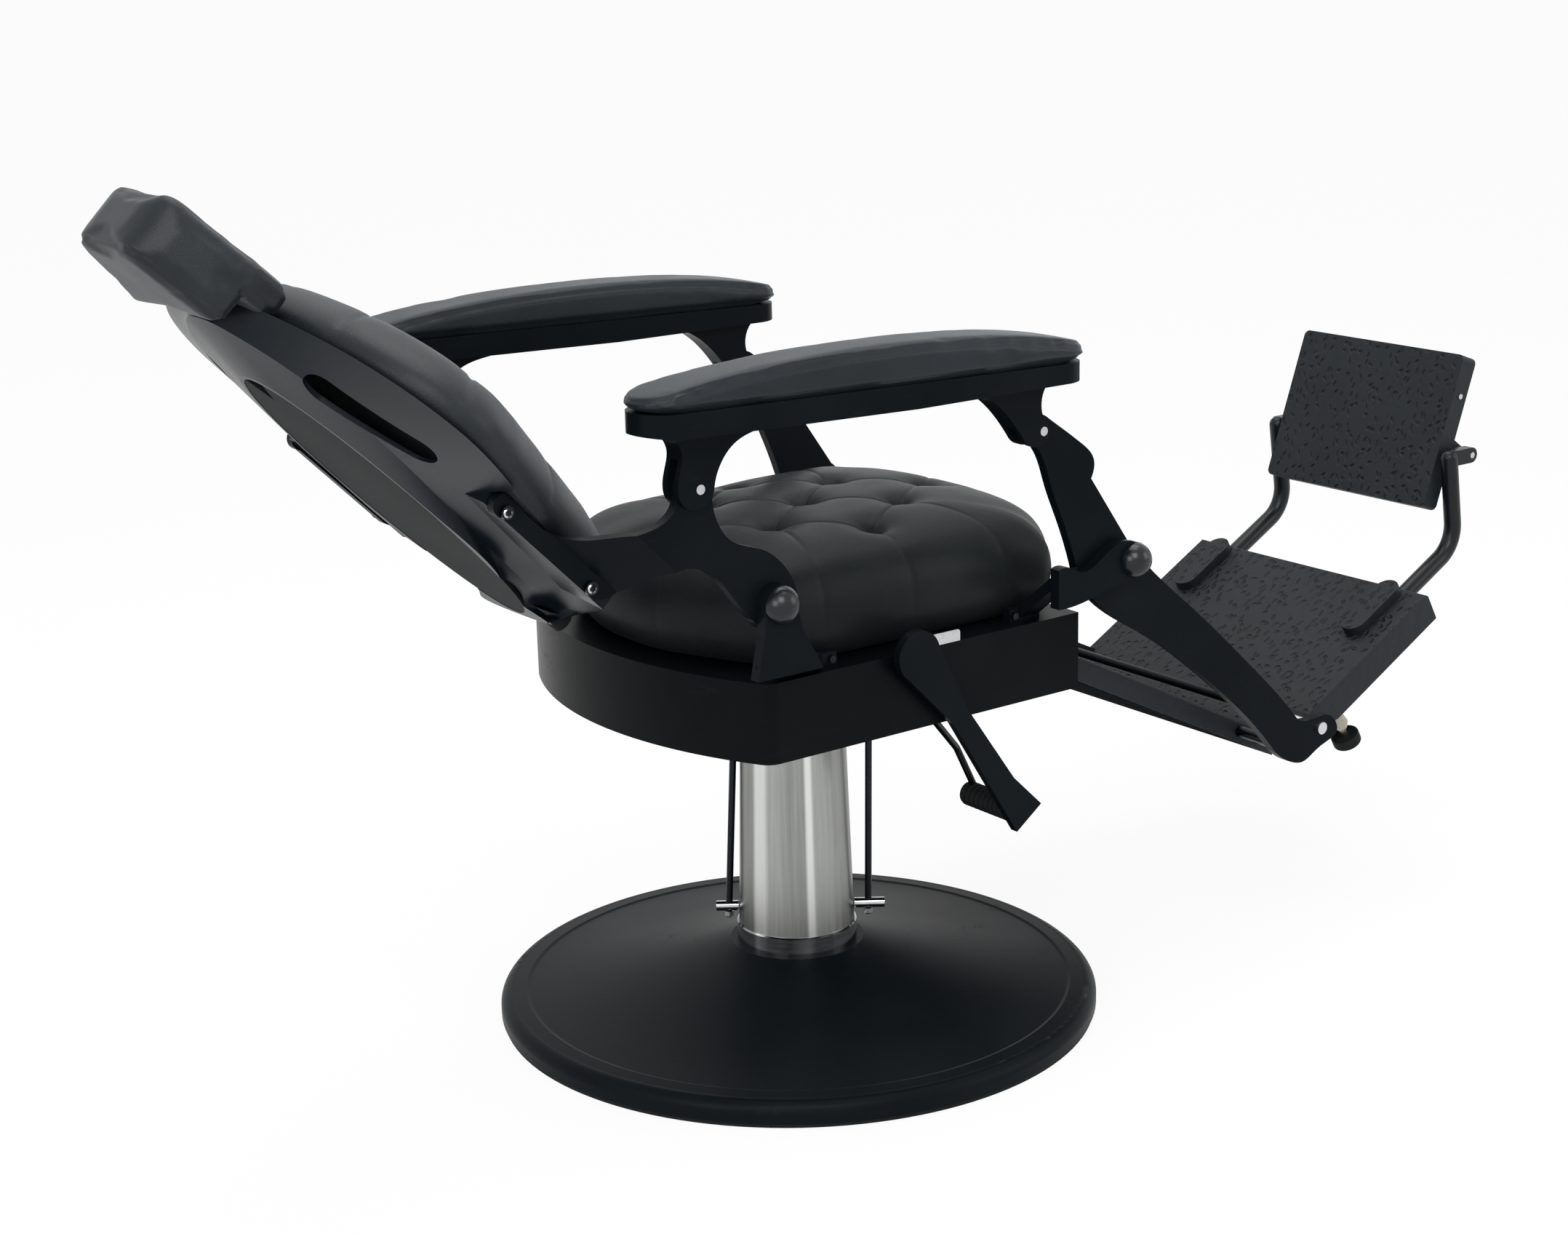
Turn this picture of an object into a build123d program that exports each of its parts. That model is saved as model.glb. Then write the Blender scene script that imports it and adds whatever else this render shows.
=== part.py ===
"""Hydraulic barber chair with a linked recliner: all its pieces at rest, reclined, in millimetres.

+Z is up, the origin lies on the floor on the column's axis, and the sitter faces -Y with -X on the right hand.
"""
from build123d import *
from math import acos, cos, degrees, radians, sin
import os

os.makedirs("parts", exist_ok=True)

SIDES = {"right": -1, "left": 1}

# ---------------------------------------------------------------- driving dimensions
# Fits
running_clearance = 0.05   # radial, shafts that turn or slide
slip_clearance = 0.2       # radial, bolts in their holes
soft_gap = 0.3             # between a cushion and what carries it
open_pivot_clearance = 1.2 # radial, front armrest pins, which take up the linkage's error
slot_clearance = 0.5       # each side of a casting between the two ears of an armrest

# Base
base_radius = 350.0
base_wall = 8.0
gasket_height = 5.0
gasket_width = 23.0
rim_height = 20.0
ridge_radius = 320.0
ridge_height = 30.0
cone_sag_radius = 197.0
cone_sag_height = 47.0
hub_radius = 90.0
hub_top_radius = 78.0
hub_height = 80.0
hub_floor = 10.0

# Column
collar_radius = 70.0
collar_height = 22.0
cover_foot_radius = 67.5
cover_top_radius = 59.2
cover_wall = 2.0
cover_height = 294.0
cylinder_radius = 45.0
cylinder_bore = 34.0
cylinder_floor = 8.0
cylinder_top = 375.0
gland_height = 10.0
flange_radius = 62.0
flange_thickness = 12.0
base_bolt_circle = 54.0
base_bolt_radius = 4.0
base_bolt_count = 6
base_bolt_depth = 26.0

# Lift
rod_radius = 25.0
rod_foot = 30.0
piston_height = 30.0
seal_height = 6.0
seal_depth = 4.0
lift_gap = 2.0
rod_flange_radius = 40.0
rod_flange_thickness = 4.0
rod_neck = 22.0
spigot_radius = 20.0
spigot_height = 38.0
washer_radius = 32.0
washer_thickness = 4.0

# Pump yoke
yoke_angle = 53.75
yoke_thickness = 6.0
yoke_width = 24.0
yoke_hub_radius = 38.0
yoke_rod_radius = 4.0
yoke_rod_foot_front = 84.0
yoke_rod_top_front = 88.5
yoke_rod_foot_rear = 79.0
yoke_rod_top_rear = 64.5
shoe_height = 118.0
shoe_radius = 6.0
shoe_gap = 0.5
shoe_length_front = 35.0
shoe_length_rear = 26.0
yoke_nut_radius = 5.8
yoke_nut_height = 6.0
yoke_thread_radius = 3.0

# Seat pan
hub_gap = 0.2
mount_hub_radius = 38.0
mount_hub_height = 35.8
mount_plate_length = 240.0
mount_plate_width = 200.0
mount_plate_thickness = 8.0
deck_thickness = 6.0
skirt_half_width = 230.0
skirt_front = -232.0
skirt_side_end = 198.0
skirt_back = 258.0
skirt_corner = 20.0
skirt_wall = 3.0
skirt_depth = 88.0
front_lip_width = 19.0
front_lip_height = 14.0
mount_bolt_spacing_x = 190.0
mount_bolt_spacing_y = 150.0
mount_bolt_radius = 4.0

# Seat cushion
cushion_half_width = 203.0
cushion_front = -285.0
cushion_front_corner = -235.0
cushion_side_end = 180.0
cushion_back = 235.0
cushion_corner = 40.0
cushion_height = 122.0
cushion_round = 28.0
button_radius = 11.0
button_height = 6.0
button_pocket_radius = 16.0
button_pocket_depth = 25.0
button_row_pitch = 90.0
button_column_pitch = 130.0
button_middle = -20.0

# Linkage pins, as places over the deck: distance back from the column axis and height over the deck
recline_pin_back = 222.0
recline_pin_rise = 102.0
leg_pin_back = -263.0
leg_pin_rise = 66.0
rear_arm_pin_back = 312.0
rear_arm_pin_rise = 233.0
front_arm_pin_back = -133.0
front_arm_pin_rise = 228.0
footrest_pin_forward = 322.0
footrest_pin_drop = 265.0
pivot_radius = 8.0
pivot_head_radius = 12.0
pivot_head_thickness = 6.0
arm_pin_radius = 5.0

# Side castings and the planes that they lie in, out from the middle
casting_inner = 262.0
casting_thickness = 12.0
boss_gap = 0.5
stanchion_thickness = 13.5
stanchion_foot_inner = 205.0
stanchion_foot_thickness = 12.0
stanchion_foot_height = 16.0
stanchion_boss_radius = 20.0
web_thickness = 15.0
rear_foot_front = 100.0
rear_foot_length = 77.0
rear_plate_front = 171.0
rear_plate_length = 82.0
rear_plate_rise = 27.0
front_foot_front = -185.0
front_foot_length = 43.0
front_web_width = 27.0
front_plate_rise = 29.0
front_plate_height = 44.0
dome_radius = 20.0
dome_sink = 2.0
arm_ear_thickness = 7.0

# Backrest, placed along the reclined back and out from it, from the recline pin
recline_angle = 45.0
shell_front = -87.0
shell_ridge = -114.0
shell_back = -126.0
shell_half_width = 270.0
shell_top = 558.0
shell_bottom = 33.0
shell_widest = 385.0
ridge_half_width = 132.0
ridge_top = 553.0
ridge_bottom = 51.0
ridge_widest = 385.0
shell_wall = 4.0
panel_half_width = 92.0
panel_half_length = 201.0
panel_middle = 269.0
panel_thickness = 4.0
panel_notch_width = 40.0
panel_notch_depth = 34.0
panel_margin = 5.0
grip_length = 146.0
grip_width = 46.0
grip_out = 148.0
grip_along = 418.0
grip_tilt = 31.0
tail_inner = 203.0          # inner face of the tail of a side casting, nearer the middle than its arms
tail_bend_start = -42.0     # out from the back, where a casting starts to lean in
tail_bend_end = -84.0       # and where it runs straight again
lug_foot = 116.0
tail_bottom = 116.0
tail_top = 299.0
lug_length = 182.0
lug_inner = 120.0
lug_front = -90.0
lug_back = -107.0
notch_margin = 2.0
casting_bolt_radius = 4.0
casting_bolt_head = 7.0
lower_bolt_along = 151.0
upper_bolt_along = 279.0
bolt_line = -102.0
bumper_radius = 13.0
bumper_length = 16.0
bumper_along = 29.0
bumper_line = -101.0
bumper_boss_length = 44.0
back_cushion_top = 528.0
back_cushion_face = -41.0
back_cushion_crown = -13.0
back_cushion_rim = 5.0

# Headrest
post_width = 50.0
post_thickness = 6.0
post_line = -103.0
post_foot = 343.0
post_length = 280.0
guide_foot = 380.0
guide_length = 72.0
guide_wall = 6.0
head_plate_width = 90.0
head_plate_height = 70.0
head_plate_thickness = 4.0
head_plate_foot = 578.0
head_foot = 531.0
head_step = 569.0
head_height = 145.0
head_thickness = 68.0
head_step_depth = 36.0
head_half_width = 97.0
head_top_half_width = 62.0
head_round = 8.0

# Armrests
arm_middle = 275.0
arm_frame_width = 68.0
arm_pad_width = 76.0
arm_front = -178.0
arm_rear = 385.0
pad_overhang = 6.0
arm_beam_top_front = 73.0
arm_beam_top_rear = 85.0
ear_slot_radius = 37.0

# Leg rest
calf_angle = 26.3
calf_half_width = 205.0
calf_length = 370.0
calf_depth = 26.0
calf_wall = 3.0
calf_edge_round = 5.0
calf_head_back = 7.0
calf_head_drop = 128.0
stay_radius = 7.0
stay_first = 300.0
stay_pitch = 35.0
footrest_axle_radius = 6.0
footrest_axle_head = 7.5

# Footrest
foot_angle = 28.8
foot_half_width = 200.0
foot_length = 288.0
foot_depth = 40.0
foot_shallow_depth = 12.0
foot_taper_end = 85.0
foot_drop = 41.3
foot_wall = 3.0
foot_edge_round = 5.0
knuckle_radius = 15.0
knuckle_thickness = 12.0
tube_radius = 11.0
tube_middle = 150.0
tube_sink = 18.0
tube_root = 182.0
tube_corner = 400.0
tube_bend = 45.0
socket_length = 99.0
socket_width = 34.0
socket_height = 12.0
step_pin_forward = 399.0
step_pin_rise = 257.0
tube_head_back = 36.0
tube_lug_radius = 10.0
tube_lug_thickness = 14.0
levelling_along = 100.0
levelling_out = 180.0
stem_radius = 5.0
stem_boss_radius = 9.0
stem_boss_length = 24.0
stem_collar_foot = 50.0
stem_collar_height = 16.0
stem_nut_radius = 9.0
stem_nut_height = 6.0
levelling_reach = 85.0
levelling_pad_radius = 18.0
levelling_pad_height = 14.0

# Flip plate
step_half_width = 137.0
step_height = 202.0
step_thickness = 26.0
step_lean = 19.94
step_pin_up = 81.5
step_pin_out = 42.8
step_lug_radius = 9.0
step_lug_thickness = 12.0
step_lug_gap = 1.0
step_pin_radius = 4.0
side_pin_radius = 3.5
side_pin_up = 150.0
side_pin_reach = 1.5

# Pump lever
lever_back = 4.0
lever_rise = -17.0
lever_head_radius = 28.0
lever_head_back = 8.0         # the head's middle lies behind and above the lever's pin
lever_head_rise = 16.0
lever_lean = 35.5             # degrees that the bar leans forward from straight down
lever_length = 267.0          # from the head's middle to the foot
lever_neck_start = 96.0
lever_neck_width = 24.0
lever_flare_start = 212.0     # the bar's front edge flares out to the foot from here
lever_foot_width = 44.0
lever_inner = 238.0
lever_thickness = 10.0
lever_shaft_radius = 6.0
lever_shaft_end = 190.0
bush_radius = 10.0
bush_collar = 7.5
grip_radius = 13.0
grip_end = 160.0
lever_rod_radius = 4.0

# ---------------------------------------------------------------- worked-out places
cover_foot = hub_height + collar_height
cover_top = cover_foot + cover_height
rod_flange_foot = cover_top + lift_gap
rod_shoulder = rod_flange_foot + rod_flange_thickness + rod_neck
mount_hub_foot = rod_shoulder + washer_thickness + hub_gap
mount_plate_foot = mount_hub_foot + mount_hub_height
deck_foot = mount_plate_foot + mount_plate_thickness
deck_top = deck_foot + deck_thickness
skirt_foot = deck_top - skirt_depth
casting_outer = casting_inner + casting_thickness
tail_outer = tail_inner + casting_thickness
rear_arm_reach = 80.0        # out from the back, past the rear arm pin
boss_inner = casting_outer + boss_gap
boss_outer = boss_inner + stanchion_thickness
ear_inner = casting_inner - slot_clearance - arm_ear_thickness
ear_outer = casting_outer + slot_clearance + arm_ear_thickness

recline_pin = (recline_pin_back, deck_top + recline_pin_rise)
leg_pin = (leg_pin_back, deck_top + leg_pin_rise)
rear_arm_pin = (rear_arm_pin_back, deck_top + rear_arm_pin_rise)
front_arm_pin = (front_arm_pin_back, deck_top + front_arm_pin_rise)
footrest_pin = (leg_pin[0] - footrest_pin_forward, leg_pin[1] - footrest_pin_drop)
step_pin = (footrest_pin[0] - step_pin_forward, footrest_pin[1] + step_pin_rise)
lever_pin = (lever_back, deck_top + lever_rise)

recline_cos = cos(radians(recline_angle))
recline_sin = sin(radians(recline_angle))
back_frame = Plane(
    origin=(0, recline_pin[0], recline_pin[1]),
    x_dir=(1, 0, 0),
    z_dir=(0, -recline_sin, recline_cos),
)
calf_frame = Plane(
    origin=(0, leg_pin[0] + calf_head_back, leg_pin[1] - calf_head_drop),
    x_dir=(1, 0, 0),
    z_dir=(0, -sin(radians(calf_angle)), cos(radians(calf_angle))),
)
foot_frame = Plane(
    origin=(0, footrest_pin[0], footrest_pin[1]),
    x_dir=(1, 0, 0),
    z_dir=(0, sin(radians(foot_angle)), cos(radians(foot_angle))),
)
step_frame = Plane(
    origin=(0, step_pin[0], step_pin[1]),
    x_dir=(1, 0, 0),
    z_dir=(0, -cos(radians(step_lean)), -sin(radians(step_lean))),
)


def save(piece, label):
    """Label a finished piece and write it as its own STEP file."""
    piece.part.label = label
    export_step(piece.part, f"parts/{label}.step")


def beside(pin, back, rise):
    """A point in Y and Z, given from a pin."""
    return (pin[0] + back, pin[1] + rise)


def on_back(along, out):
    """A point in Y and Z, given along the reclined back and out from it, from the recline pin."""
    return (
        recline_pin[0] + along * recline_cos - out * recline_sin,
        recline_pin[1] + along * recline_sin + out * recline_cos,
    )


def on_foot(forward, rise):
    """A point in Y and Z, given forward along the footrest and up from it, from the footrest pin."""
    pitch = radians(foot_angle)
    return (
        footrest_pin[0] - forward * cos(pitch) + rise * sin(pitch),
        footrest_pin[1] + forward * sin(pitch) + rise * cos(pitch),
    )


def on_calf(forward, rise):
    """A point in Y and Z, given forward along the calf plate and up from it, from its upper rear edge."""
    pitch = radians(calf_angle)
    return (
        calf_frame.origin.Y - forward * cos(pitch) - rise * sin(pitch),
        calf_frame.origin.Z - forward * sin(pitch) + rise * cos(pitch),
    )


def on_step(rise, out):
    """A point in Y and Z, given up along the flip plate and out in front of it, from the step pin."""
    lean = radians(step_lean)
    return (
        step_pin[0] - rise * sin(lean) - out * cos(lean),
        step_pin[1] + rise * cos(lean) - out * sin(lean),
    )


def side_plane(side, distance):
    """Plane parallel to YZ at a distance out from the middle, drawn in Y and Z."""
    return Plane.YZ.offset(side * distance)


def closed_outline(points):
    """Closed outline through points on one side, from the top to the bottom, mirrored to the other side."""
    with BuildSketch() as face:
        with BuildLine() as outline:
            Spline(*points, tangents=((1, 0), (-1, 0)))
            mirror(outline.line, about=Plane.YZ)
        make_face()
    return face.sketch


def shield(half_width, top, bottom, widest):
    """Closed shield outline, symmetrical about its middle, broad above and narrow below."""
    above = top - widest
    below = widest - bottom
    return closed_outline(
        [
            (0, top),
            (0.45 * half_width, widest + 0.87 * above),
            (0.73 * half_width, widest + 0.67 * above),
            (0.92 * half_width, widest + 0.38 * above),
            (half_width, widest),
            (0.965 * half_width, widest - 0.13 * below),
            (0.9 * half_width, widest - 0.25 * below),
            (0.8 * half_width, widest - 0.43 * below),
            (0.7 * half_width, widest - 0.61 * below),
            (0.58 * half_width, widest - 0.8 * below),
            (0.39 * half_width, widest - 0.94 * below),
            (0, bottom),
        ]
    )


def oval(half_width, top, bottom, widest):
    """Closed egg outline, symmetrical about its middle."""
    above = top - widest
    below = widest - bottom
    return closed_outline(
        [
            (0, top),
            (0.5 * half_width, widest + 0.866 * above),
            (0.866 * half_width, widest + 0.5 * above),
            (half_width, widest),
            (0.866 * half_width, widest - 0.5 * below),
            (0.5 * half_width, widest - 0.866 * below),
            (0, bottom),
        ]
    )


# ---------------------------------------------------------------- base
with BuildPart() as base_plate:
    with BuildSketch(Plane.XZ):
        with BuildLine():
            ThreePointArc(
                (ridge_radius - 4, ridge_height - 1),
                (cone_sag_radius, cone_sag_height),
                (hub_top_radius, hub_height),
            )
            Polyline(
                (hub_top_radius, hub_height),
                (cylinder_radius + slip_clearance, hub_height),
                (cylinder_radius + slip_clearance, hub_floor),
                (0, hub_floor),
                (0, 0),
                (hub_radius, 0),
                (hub_radius, hub_height - 2 * base_wall),
            )
            ThreePointArc(
                (hub_radius, hub_height - 2 * base_wall),
                (cone_sag_radius, cone_sag_height - base_wall),
                (ridge_radius - 4, ridge_height - base_wall - 1),
            )
            Polyline(
                (ridge_radius - 4, ridge_height - base_wall - 1),
                (base_radius - gasket_width - 2, gasket_height + base_wall),
                (base_radius - gasket_width - 2, gasket_height),
                (base_radius, gasket_height),
                (base_radius, rim_height - 4),
            )
            ThreePointArc(
                (base_radius, rim_height - 4),
                (base_radius - 4, rim_height + 4.5),
                (base_radius - 15, rim_height + 8.5),
            )
            Polyline(
                (base_radius - 15, rim_height + 8.5),
                (ridge_radius, ridge_height),
                (ridge_radius - 4, ridge_height - 1),
            )
        make_face()
    revolve(axis=Axis.Z)
    with Locations(Plane.XY.offset(hub_height)):
        with PolarLocations(base_bolt_circle, base_bolt_count):
            Hole(base_bolt_radius + slip_clearance, depth=base_bolt_depth)
save(base_plate, "base_plate")

with BuildPart() as floor_gasket:
    with BuildSketch():
        Circle(base_radius - 2)
        Circle(base_radius - 2 - gasket_width, mode=Mode.SUBTRACT)
    extrude(amount=gasket_height)
save(floor_gasket, "floor_gasket")

with BuildPart() as column_collar:
    with BuildSketch(Plane.XY.offset(hub_height)):
        Circle(collar_radius)
        Circle(flange_radius + slip_clearance, mode=Mode.SUBTRACT)
    extrude(amount=collar_height)
    chamfer(column_collar.edges().group_by(Axis.Z)[-1].sort_by(SortBy.RADIUS)[-1], 1.5)
save(column_collar, "column_collar")

with BuildPart() as column_cover:
    with BuildSketch(Plane.XZ):
        with BuildLine():
            Polyline(
                (cover_foot_radius, cover_foot),
                (cover_top_radius, cover_top),
                (rod_radius + 2, cover_top),
                (rod_radius + 2, cover_top - cover_wall),
                (cover_top_radius - cover_wall, cover_top - cover_wall),
                (cover_foot_radius - cover_wall, cover_foot),
                close=True,
            )
        make_face()
    revolve(axis=Axis.Z)
save(column_cover, "column_cover")

with BuildPart() as pump_cylinder:
    with BuildSketch(Plane.XY.offset(hub_floor + 2)):
        Circle(cylinder_radius)
    extrude(amount=cylinder_top - hub_floor - 2)
    with BuildSketch(Plane.XY.offset(hub_height)):
        Circle(flange_radius)
    extrude(amount=flange_thickness)
    with BuildSketch(Plane.XY.offset(hub_floor + 2 + cylinder_floor)):
        Circle(cylinder_bore)
    extrude(amount=cylinder_top, mode=Mode.SUBTRACT)
    with Locations(Plane.XY.offset(hub_height + flange_thickness)):
        with PolarLocations(base_bolt_circle, base_bolt_count):
            Hole(base_bolt_radius + slip_clearance, depth=flange_thickness)
save(pump_cylinder, "pump_cylinder")

with BuildPart() as cylinder_gland:
    with BuildSketch(Plane.XY.offset(cylinder_top)):
        Circle(cylinder_radius)
        Circle(rod_radius + running_clearance, mode=Mode.SUBTRACT)
    extrude(amount=gland_height)
save(cylinder_gland, "cylinder_gland")

with BuildPart() as base_bolts:
    with Locations(Plane.XY.offset(hub_height + flange_thickness)):
        with PolarLocations(base_bolt_circle, base_bolt_count):
            Cylinder(
                base_bolt_radius,
                base_bolt_depth,
                align=(Align.CENTER, Align.CENTER, Align.MAX),
            )
    with BuildSketch(Plane.XY.offset(hub_height + flange_thickness)):
        with PolarLocations(base_bolt_circle, base_bolt_count):
            RegularPolygon(1.8 * base_bolt_radius, 6)
    extrude(amount=1.4 * base_bolt_radius)
save(base_bolts, "base_bolts")

# ---------------------------------------------------------------- lift
piston_radius = cylinder_bore - running_clearance
seal_foot = rod_foot + (piston_height - seal_height) / 2

with BuildPart() as piston_rod:
    with BuildSketch(Plane.XY.offset(rod_foot)):
        Circle(rod_radius)
    extrude(amount=rod_shoulder - rod_foot)
    with BuildSketch(Plane.XY.offset(rod_foot)):
        Circle(piston_radius)
    extrude(amount=piston_height)
    with BuildSketch(Plane.XY.offset(seal_foot)):
        Circle(piston_radius + 1)
        Circle(piston_radius - seal_depth, mode=Mode.SUBTRACT)
    extrude(amount=seal_height, mode=Mode.SUBTRACT)
    with BuildSketch(Plane.XY.offset(rod_flange_foot)):
        Circle(rod_flange_radius)
    extrude(amount=rod_flange_thickness)
    with BuildSketch(Plane.XY.offset(rod_shoulder)):
        Circle(spigot_radius)
    extrude(amount=spigot_height)
save(piston_rod, "piston_rod")

with BuildPart() as piston_seal:
    with BuildSketch(Plane.XY.offset(seal_foot + 0.1)):
        Circle(cylinder_bore - running_clearance / 2)
        Circle(piston_radius - seal_depth, mode=Mode.SUBTRACT)
    extrude(amount=seal_height - 0.2)
save(piston_seal, "piston_seal")

with BuildPart() as thrust_washer:
    with BuildSketch(Plane.XY.offset(rod_shoulder)):
        Circle(washer_radius)
        Circle(spigot_radius + 2 * running_clearance, mode=Mode.SUBTRACT)
    extrude(amount=washer_thickness)
save(thrust_washer, "thrust_washer")

# ---------------------------------------------------------------- pump yoke
yoke_direction = Vector(cos(radians(yoke_angle)), sin(radians(yoke_angle)), 0)
yoke_foot = rod_flange_foot + rod_flange_thickness + 0.3
shoe_reach = cover_foot_radius + shoe_gap
yoke_arms = (
    (-1, yoke_rod_foot_front, yoke_rod_top_front, shoe_length_front),
    (1, yoke_rod_foot_rear, yoke_rod_top_rear, shoe_length_rear),
)


def yoke_rod_plane(way, foot, top, height):
    """Plane across a yoke rod at a height, facing along the rod."""
    start = yoke_direction * (way * foot) + Vector(0, 0, shoe_height)
    end = yoke_direction * (way * top) + Vector(0, 0, yoke_foot)
    run = end - start
    place = start + run * ((height - shoe_height) / (yoke_foot - shoe_height))
    return Plane(origin=place, z_dir=run.normalized())


with BuildPart() as yoke_bar:
    with BuildSketch(Plane.XY.offset(yoke_foot)):
        Circle(yoke_hub_radius)
        for way, foot, top, length in yoke_arms:
            with Locations(Location(yoke_direction * (way * top / 2), (0, 0, yoke_angle))):
                Rectangle(top, yoke_width)
            with Locations(yoke_direction * (way * top)):
                Circle(yoke_width / 2)
        Circle(rod_radius + running_clearance, mode=Mode.SUBTRACT)
    extrude(amount=yoke_thickness)
save(yoke_bar, "yoke_bar")

with BuildPart() as yoke_rods:
    for way, foot, top, length in yoke_arms:
        with BuildSketch(yoke_rod_plane(way, foot, top, shoe_height - shoe_radius)):
            Circle(yoke_rod_radius)
        extrude(amount=yoke_foot - shoe_height + shoe_radius - 0.4)
        with BuildSketch(yoke_rod_plane(way, foot, top, shoe_height - shoe_radius - yoke_nut_height - 2)):
            Circle(yoke_thread_radius)
        extrude(amount=yoke_nut_height + 2 + yoke_thread_radius)
save(yoke_rods, "yoke_rods")

with BuildPart() as yoke_shoes:
    for way, foot, top, length in yoke_arms:
        centre = yoke_direction * (way * shoe_reach) + Vector(0, 0, shoe_height)
        with BuildSketch(Plane(origin=centre, z_dir=yoke_direction * way)):
            Circle(shoe_radius)
        extrude(amount=length)
    for way, foot, top, length in yoke_arms:
        with BuildSketch(yoke_rod_plane(way, foot, top, shoe_height - 2 * shoe_radius)):
            Circle(yoke_rod_radius + running_clearance)
        extrude(amount=4 * shoe_radius, mode=Mode.SUBTRACT)
save(yoke_shoes, "yoke_shoes")

with BuildPart() as yoke_nuts:
    for way, foot, top, length in yoke_arms:
        with BuildSketch(yoke_rod_plane(way, foot, top, shoe_height - shoe_radius - yoke_nut_height)):
            RegularPolygon(yoke_nut_radius, 6)
            Circle(yoke_thread_radius + running_clearance, mode=Mode.SUBTRACT)
        extrude(amount=yoke_nut_height - 0.4)
save(yoke_nuts, "yoke_nuts")


# ---------------------------------------------------------------- seat pan
def pan_outline(inset):
    """D-shaped outline of the seat pan: square front, straight sides, gently rounded back."""
    half_width = skirt_half_width - inset
    with BuildSketch() as face:
        with BuildLine():
            Polyline(
                (-half_width, skirt_side_end),
                (-half_width, skirt_front + inset),
                (half_width, skirt_front + inset),
                (half_width, skirt_side_end),
            )
            ThreePointArc((half_width, skirt_side_end), (0, skirt_back - inset), (-half_width, skirt_side_end))
        make_face()
        fillet(face.vertices().group_by(Axis.Y)[-1], skirt_corner - inset)
    return face.sketch


with BuildPart() as seat_skirt:
    with BuildSketch(Plane.XY.offset(skirt_foot)):
        add(pan_outline(0))
        add(pan_outline(skirt_wall), mode=Mode.SUBTRACT)
    extrude(amount=skirt_depth)
    with BuildSketch(Plane.XY.offset(skirt_foot)):
        with Locations((0, skirt_front)):
            Rectangle(2 * (skirt_half_width - front_lip_width), 4 * skirt_wall)
    extrude(amount=skirt_depth - front_lip_height, mode=Mode.SUBTRACT)
    with BuildSketch(Plane.YZ):
        with Locations(lever_pin):
            Circle(bush_radius)
    extrude(amount=-skirt_half_width - 1, mode=Mode.SUBTRACT)
save(seat_skirt, "seat_skirt")

with BuildPart() as seat_deck:
    with BuildSketch(Plane.XY.offset(deck_foot)):
        add(pan_outline(skirt_wall))
        with GridLocations(mount_bolt_spacing_x, mount_bolt_spacing_y, 2, 2):
            Circle(mount_bolt_radius + slip_clearance, mode=Mode.SUBTRACT)
    extrude(amount=deck_thickness)
save(seat_deck, "seat_deck")

with BuildPart() as mounting_plate:
    with BuildSketch(Plane.XY.offset(mount_hub_foot)):
        Circle(mount_hub_radius)
    extrude(amount=mount_hub_height)
    with BuildSketch(Plane.XY.offset(mount_plate_foot)):
        RectangleRounded(mount_plate_length, mount_plate_width, 12)
        with GridLocations(mount_bolt_spacing_x, mount_bolt_spacing_y, 2, 2):
            Circle(mount_bolt_radius + slip_clearance, mode=Mode.SUBTRACT)
    extrude(amount=mount_plate_thickness)
    with BuildSketch(Plane.XY.offset(mount_hub_foot)):
        Circle(spigot_radius + running_clearance)
    extrude(amount=rod_shoulder + spigot_height + 1 - mount_hub_foot, mode=Mode.SUBTRACT)
save(mounting_plate, "mounting_plate")

with BuildPart() as mount_bolts:
    with BuildSketch(Plane.XY.offset(mount_plate_foot)):
        with GridLocations(mount_bolt_spacing_x, mount_bolt_spacing_y, 2, 2):
            Circle(mount_bolt_radius)
    extrude(amount=mount_plate_thickness + deck_thickness)
    with BuildSketch(Plane.XY.offset(mount_plate_foot)):
        with GridLocations(mount_bolt_spacing_x, mount_bolt_spacing_y, 2, 2):
            RegularPolygon(1.8 * mount_bolt_radius, 6)
    extrude(amount=-1.4 * mount_bolt_radius)
save(mount_bolts, "mount_bolts")

# ---------------------------------------------------------------- seat cushion
cushion_foot = deck_top + soft_gap
cushion_top = deck_top + cushion_height
button_rows = (1, 2, 3, 2, 1)
button_places = [
    ((column - (count - 1) / 2) * button_column_pitch, button_middle + (row - 2) * button_row_pitch)
    for row, count in enumerate(button_rows)
    for column in range(count)
]
pocket_floor = cushion_top - button_pocket_depth

with BuildPart() as seat_cushion:
    with BuildSketch(Plane.XY.offset(cushion_foot)) as cushion_face:
        with BuildLine():
            ThreePointArc(
                (-cushion_half_width, cushion_front_corner),
                (0, cushion_front),
                (cushion_half_width, cushion_front_corner),
            )
            Line((cushion_half_width, cushion_front_corner), (cushion_half_width, cushion_side_end))
            ThreePointArc(
                (cushion_half_width, cushion_side_end),
                (0, cushion_back),
                (-cushion_half_width, cushion_side_end),
            )
            Line((-cushion_half_width, cushion_side_end), (-cushion_half_width, cushion_front_corner))
        make_face()
        fillet(cushion_face.vertices(), cushion_corner)
    extrude(amount=cushion_height - soft_gap)
    fillet(seat_cushion.edges().group_by(Axis.Z)[-1], cushion_round)
    with BuildSketch(Plane.XY.offset(pocket_floor)):
        with Locations(*button_places):
            Circle(button_pocket_radius)
    extrude(amount=button_pocket_depth, mode=Mode.SUBTRACT)
save(seat_cushion, "seat_cushion")

with BuildPart() as seat_buttons:
    with BuildSketch(Plane.XY.offset(pocket_floor + soft_gap)):
        with Locations(*button_places):
            Circle(button_radius)
    extrude(amount=button_height)
    fillet(seat_buttons.edges().group_by(Axis.Z)[-1], 0.45 * button_height)
save(seat_buttons, "seat_buttons")

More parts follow.
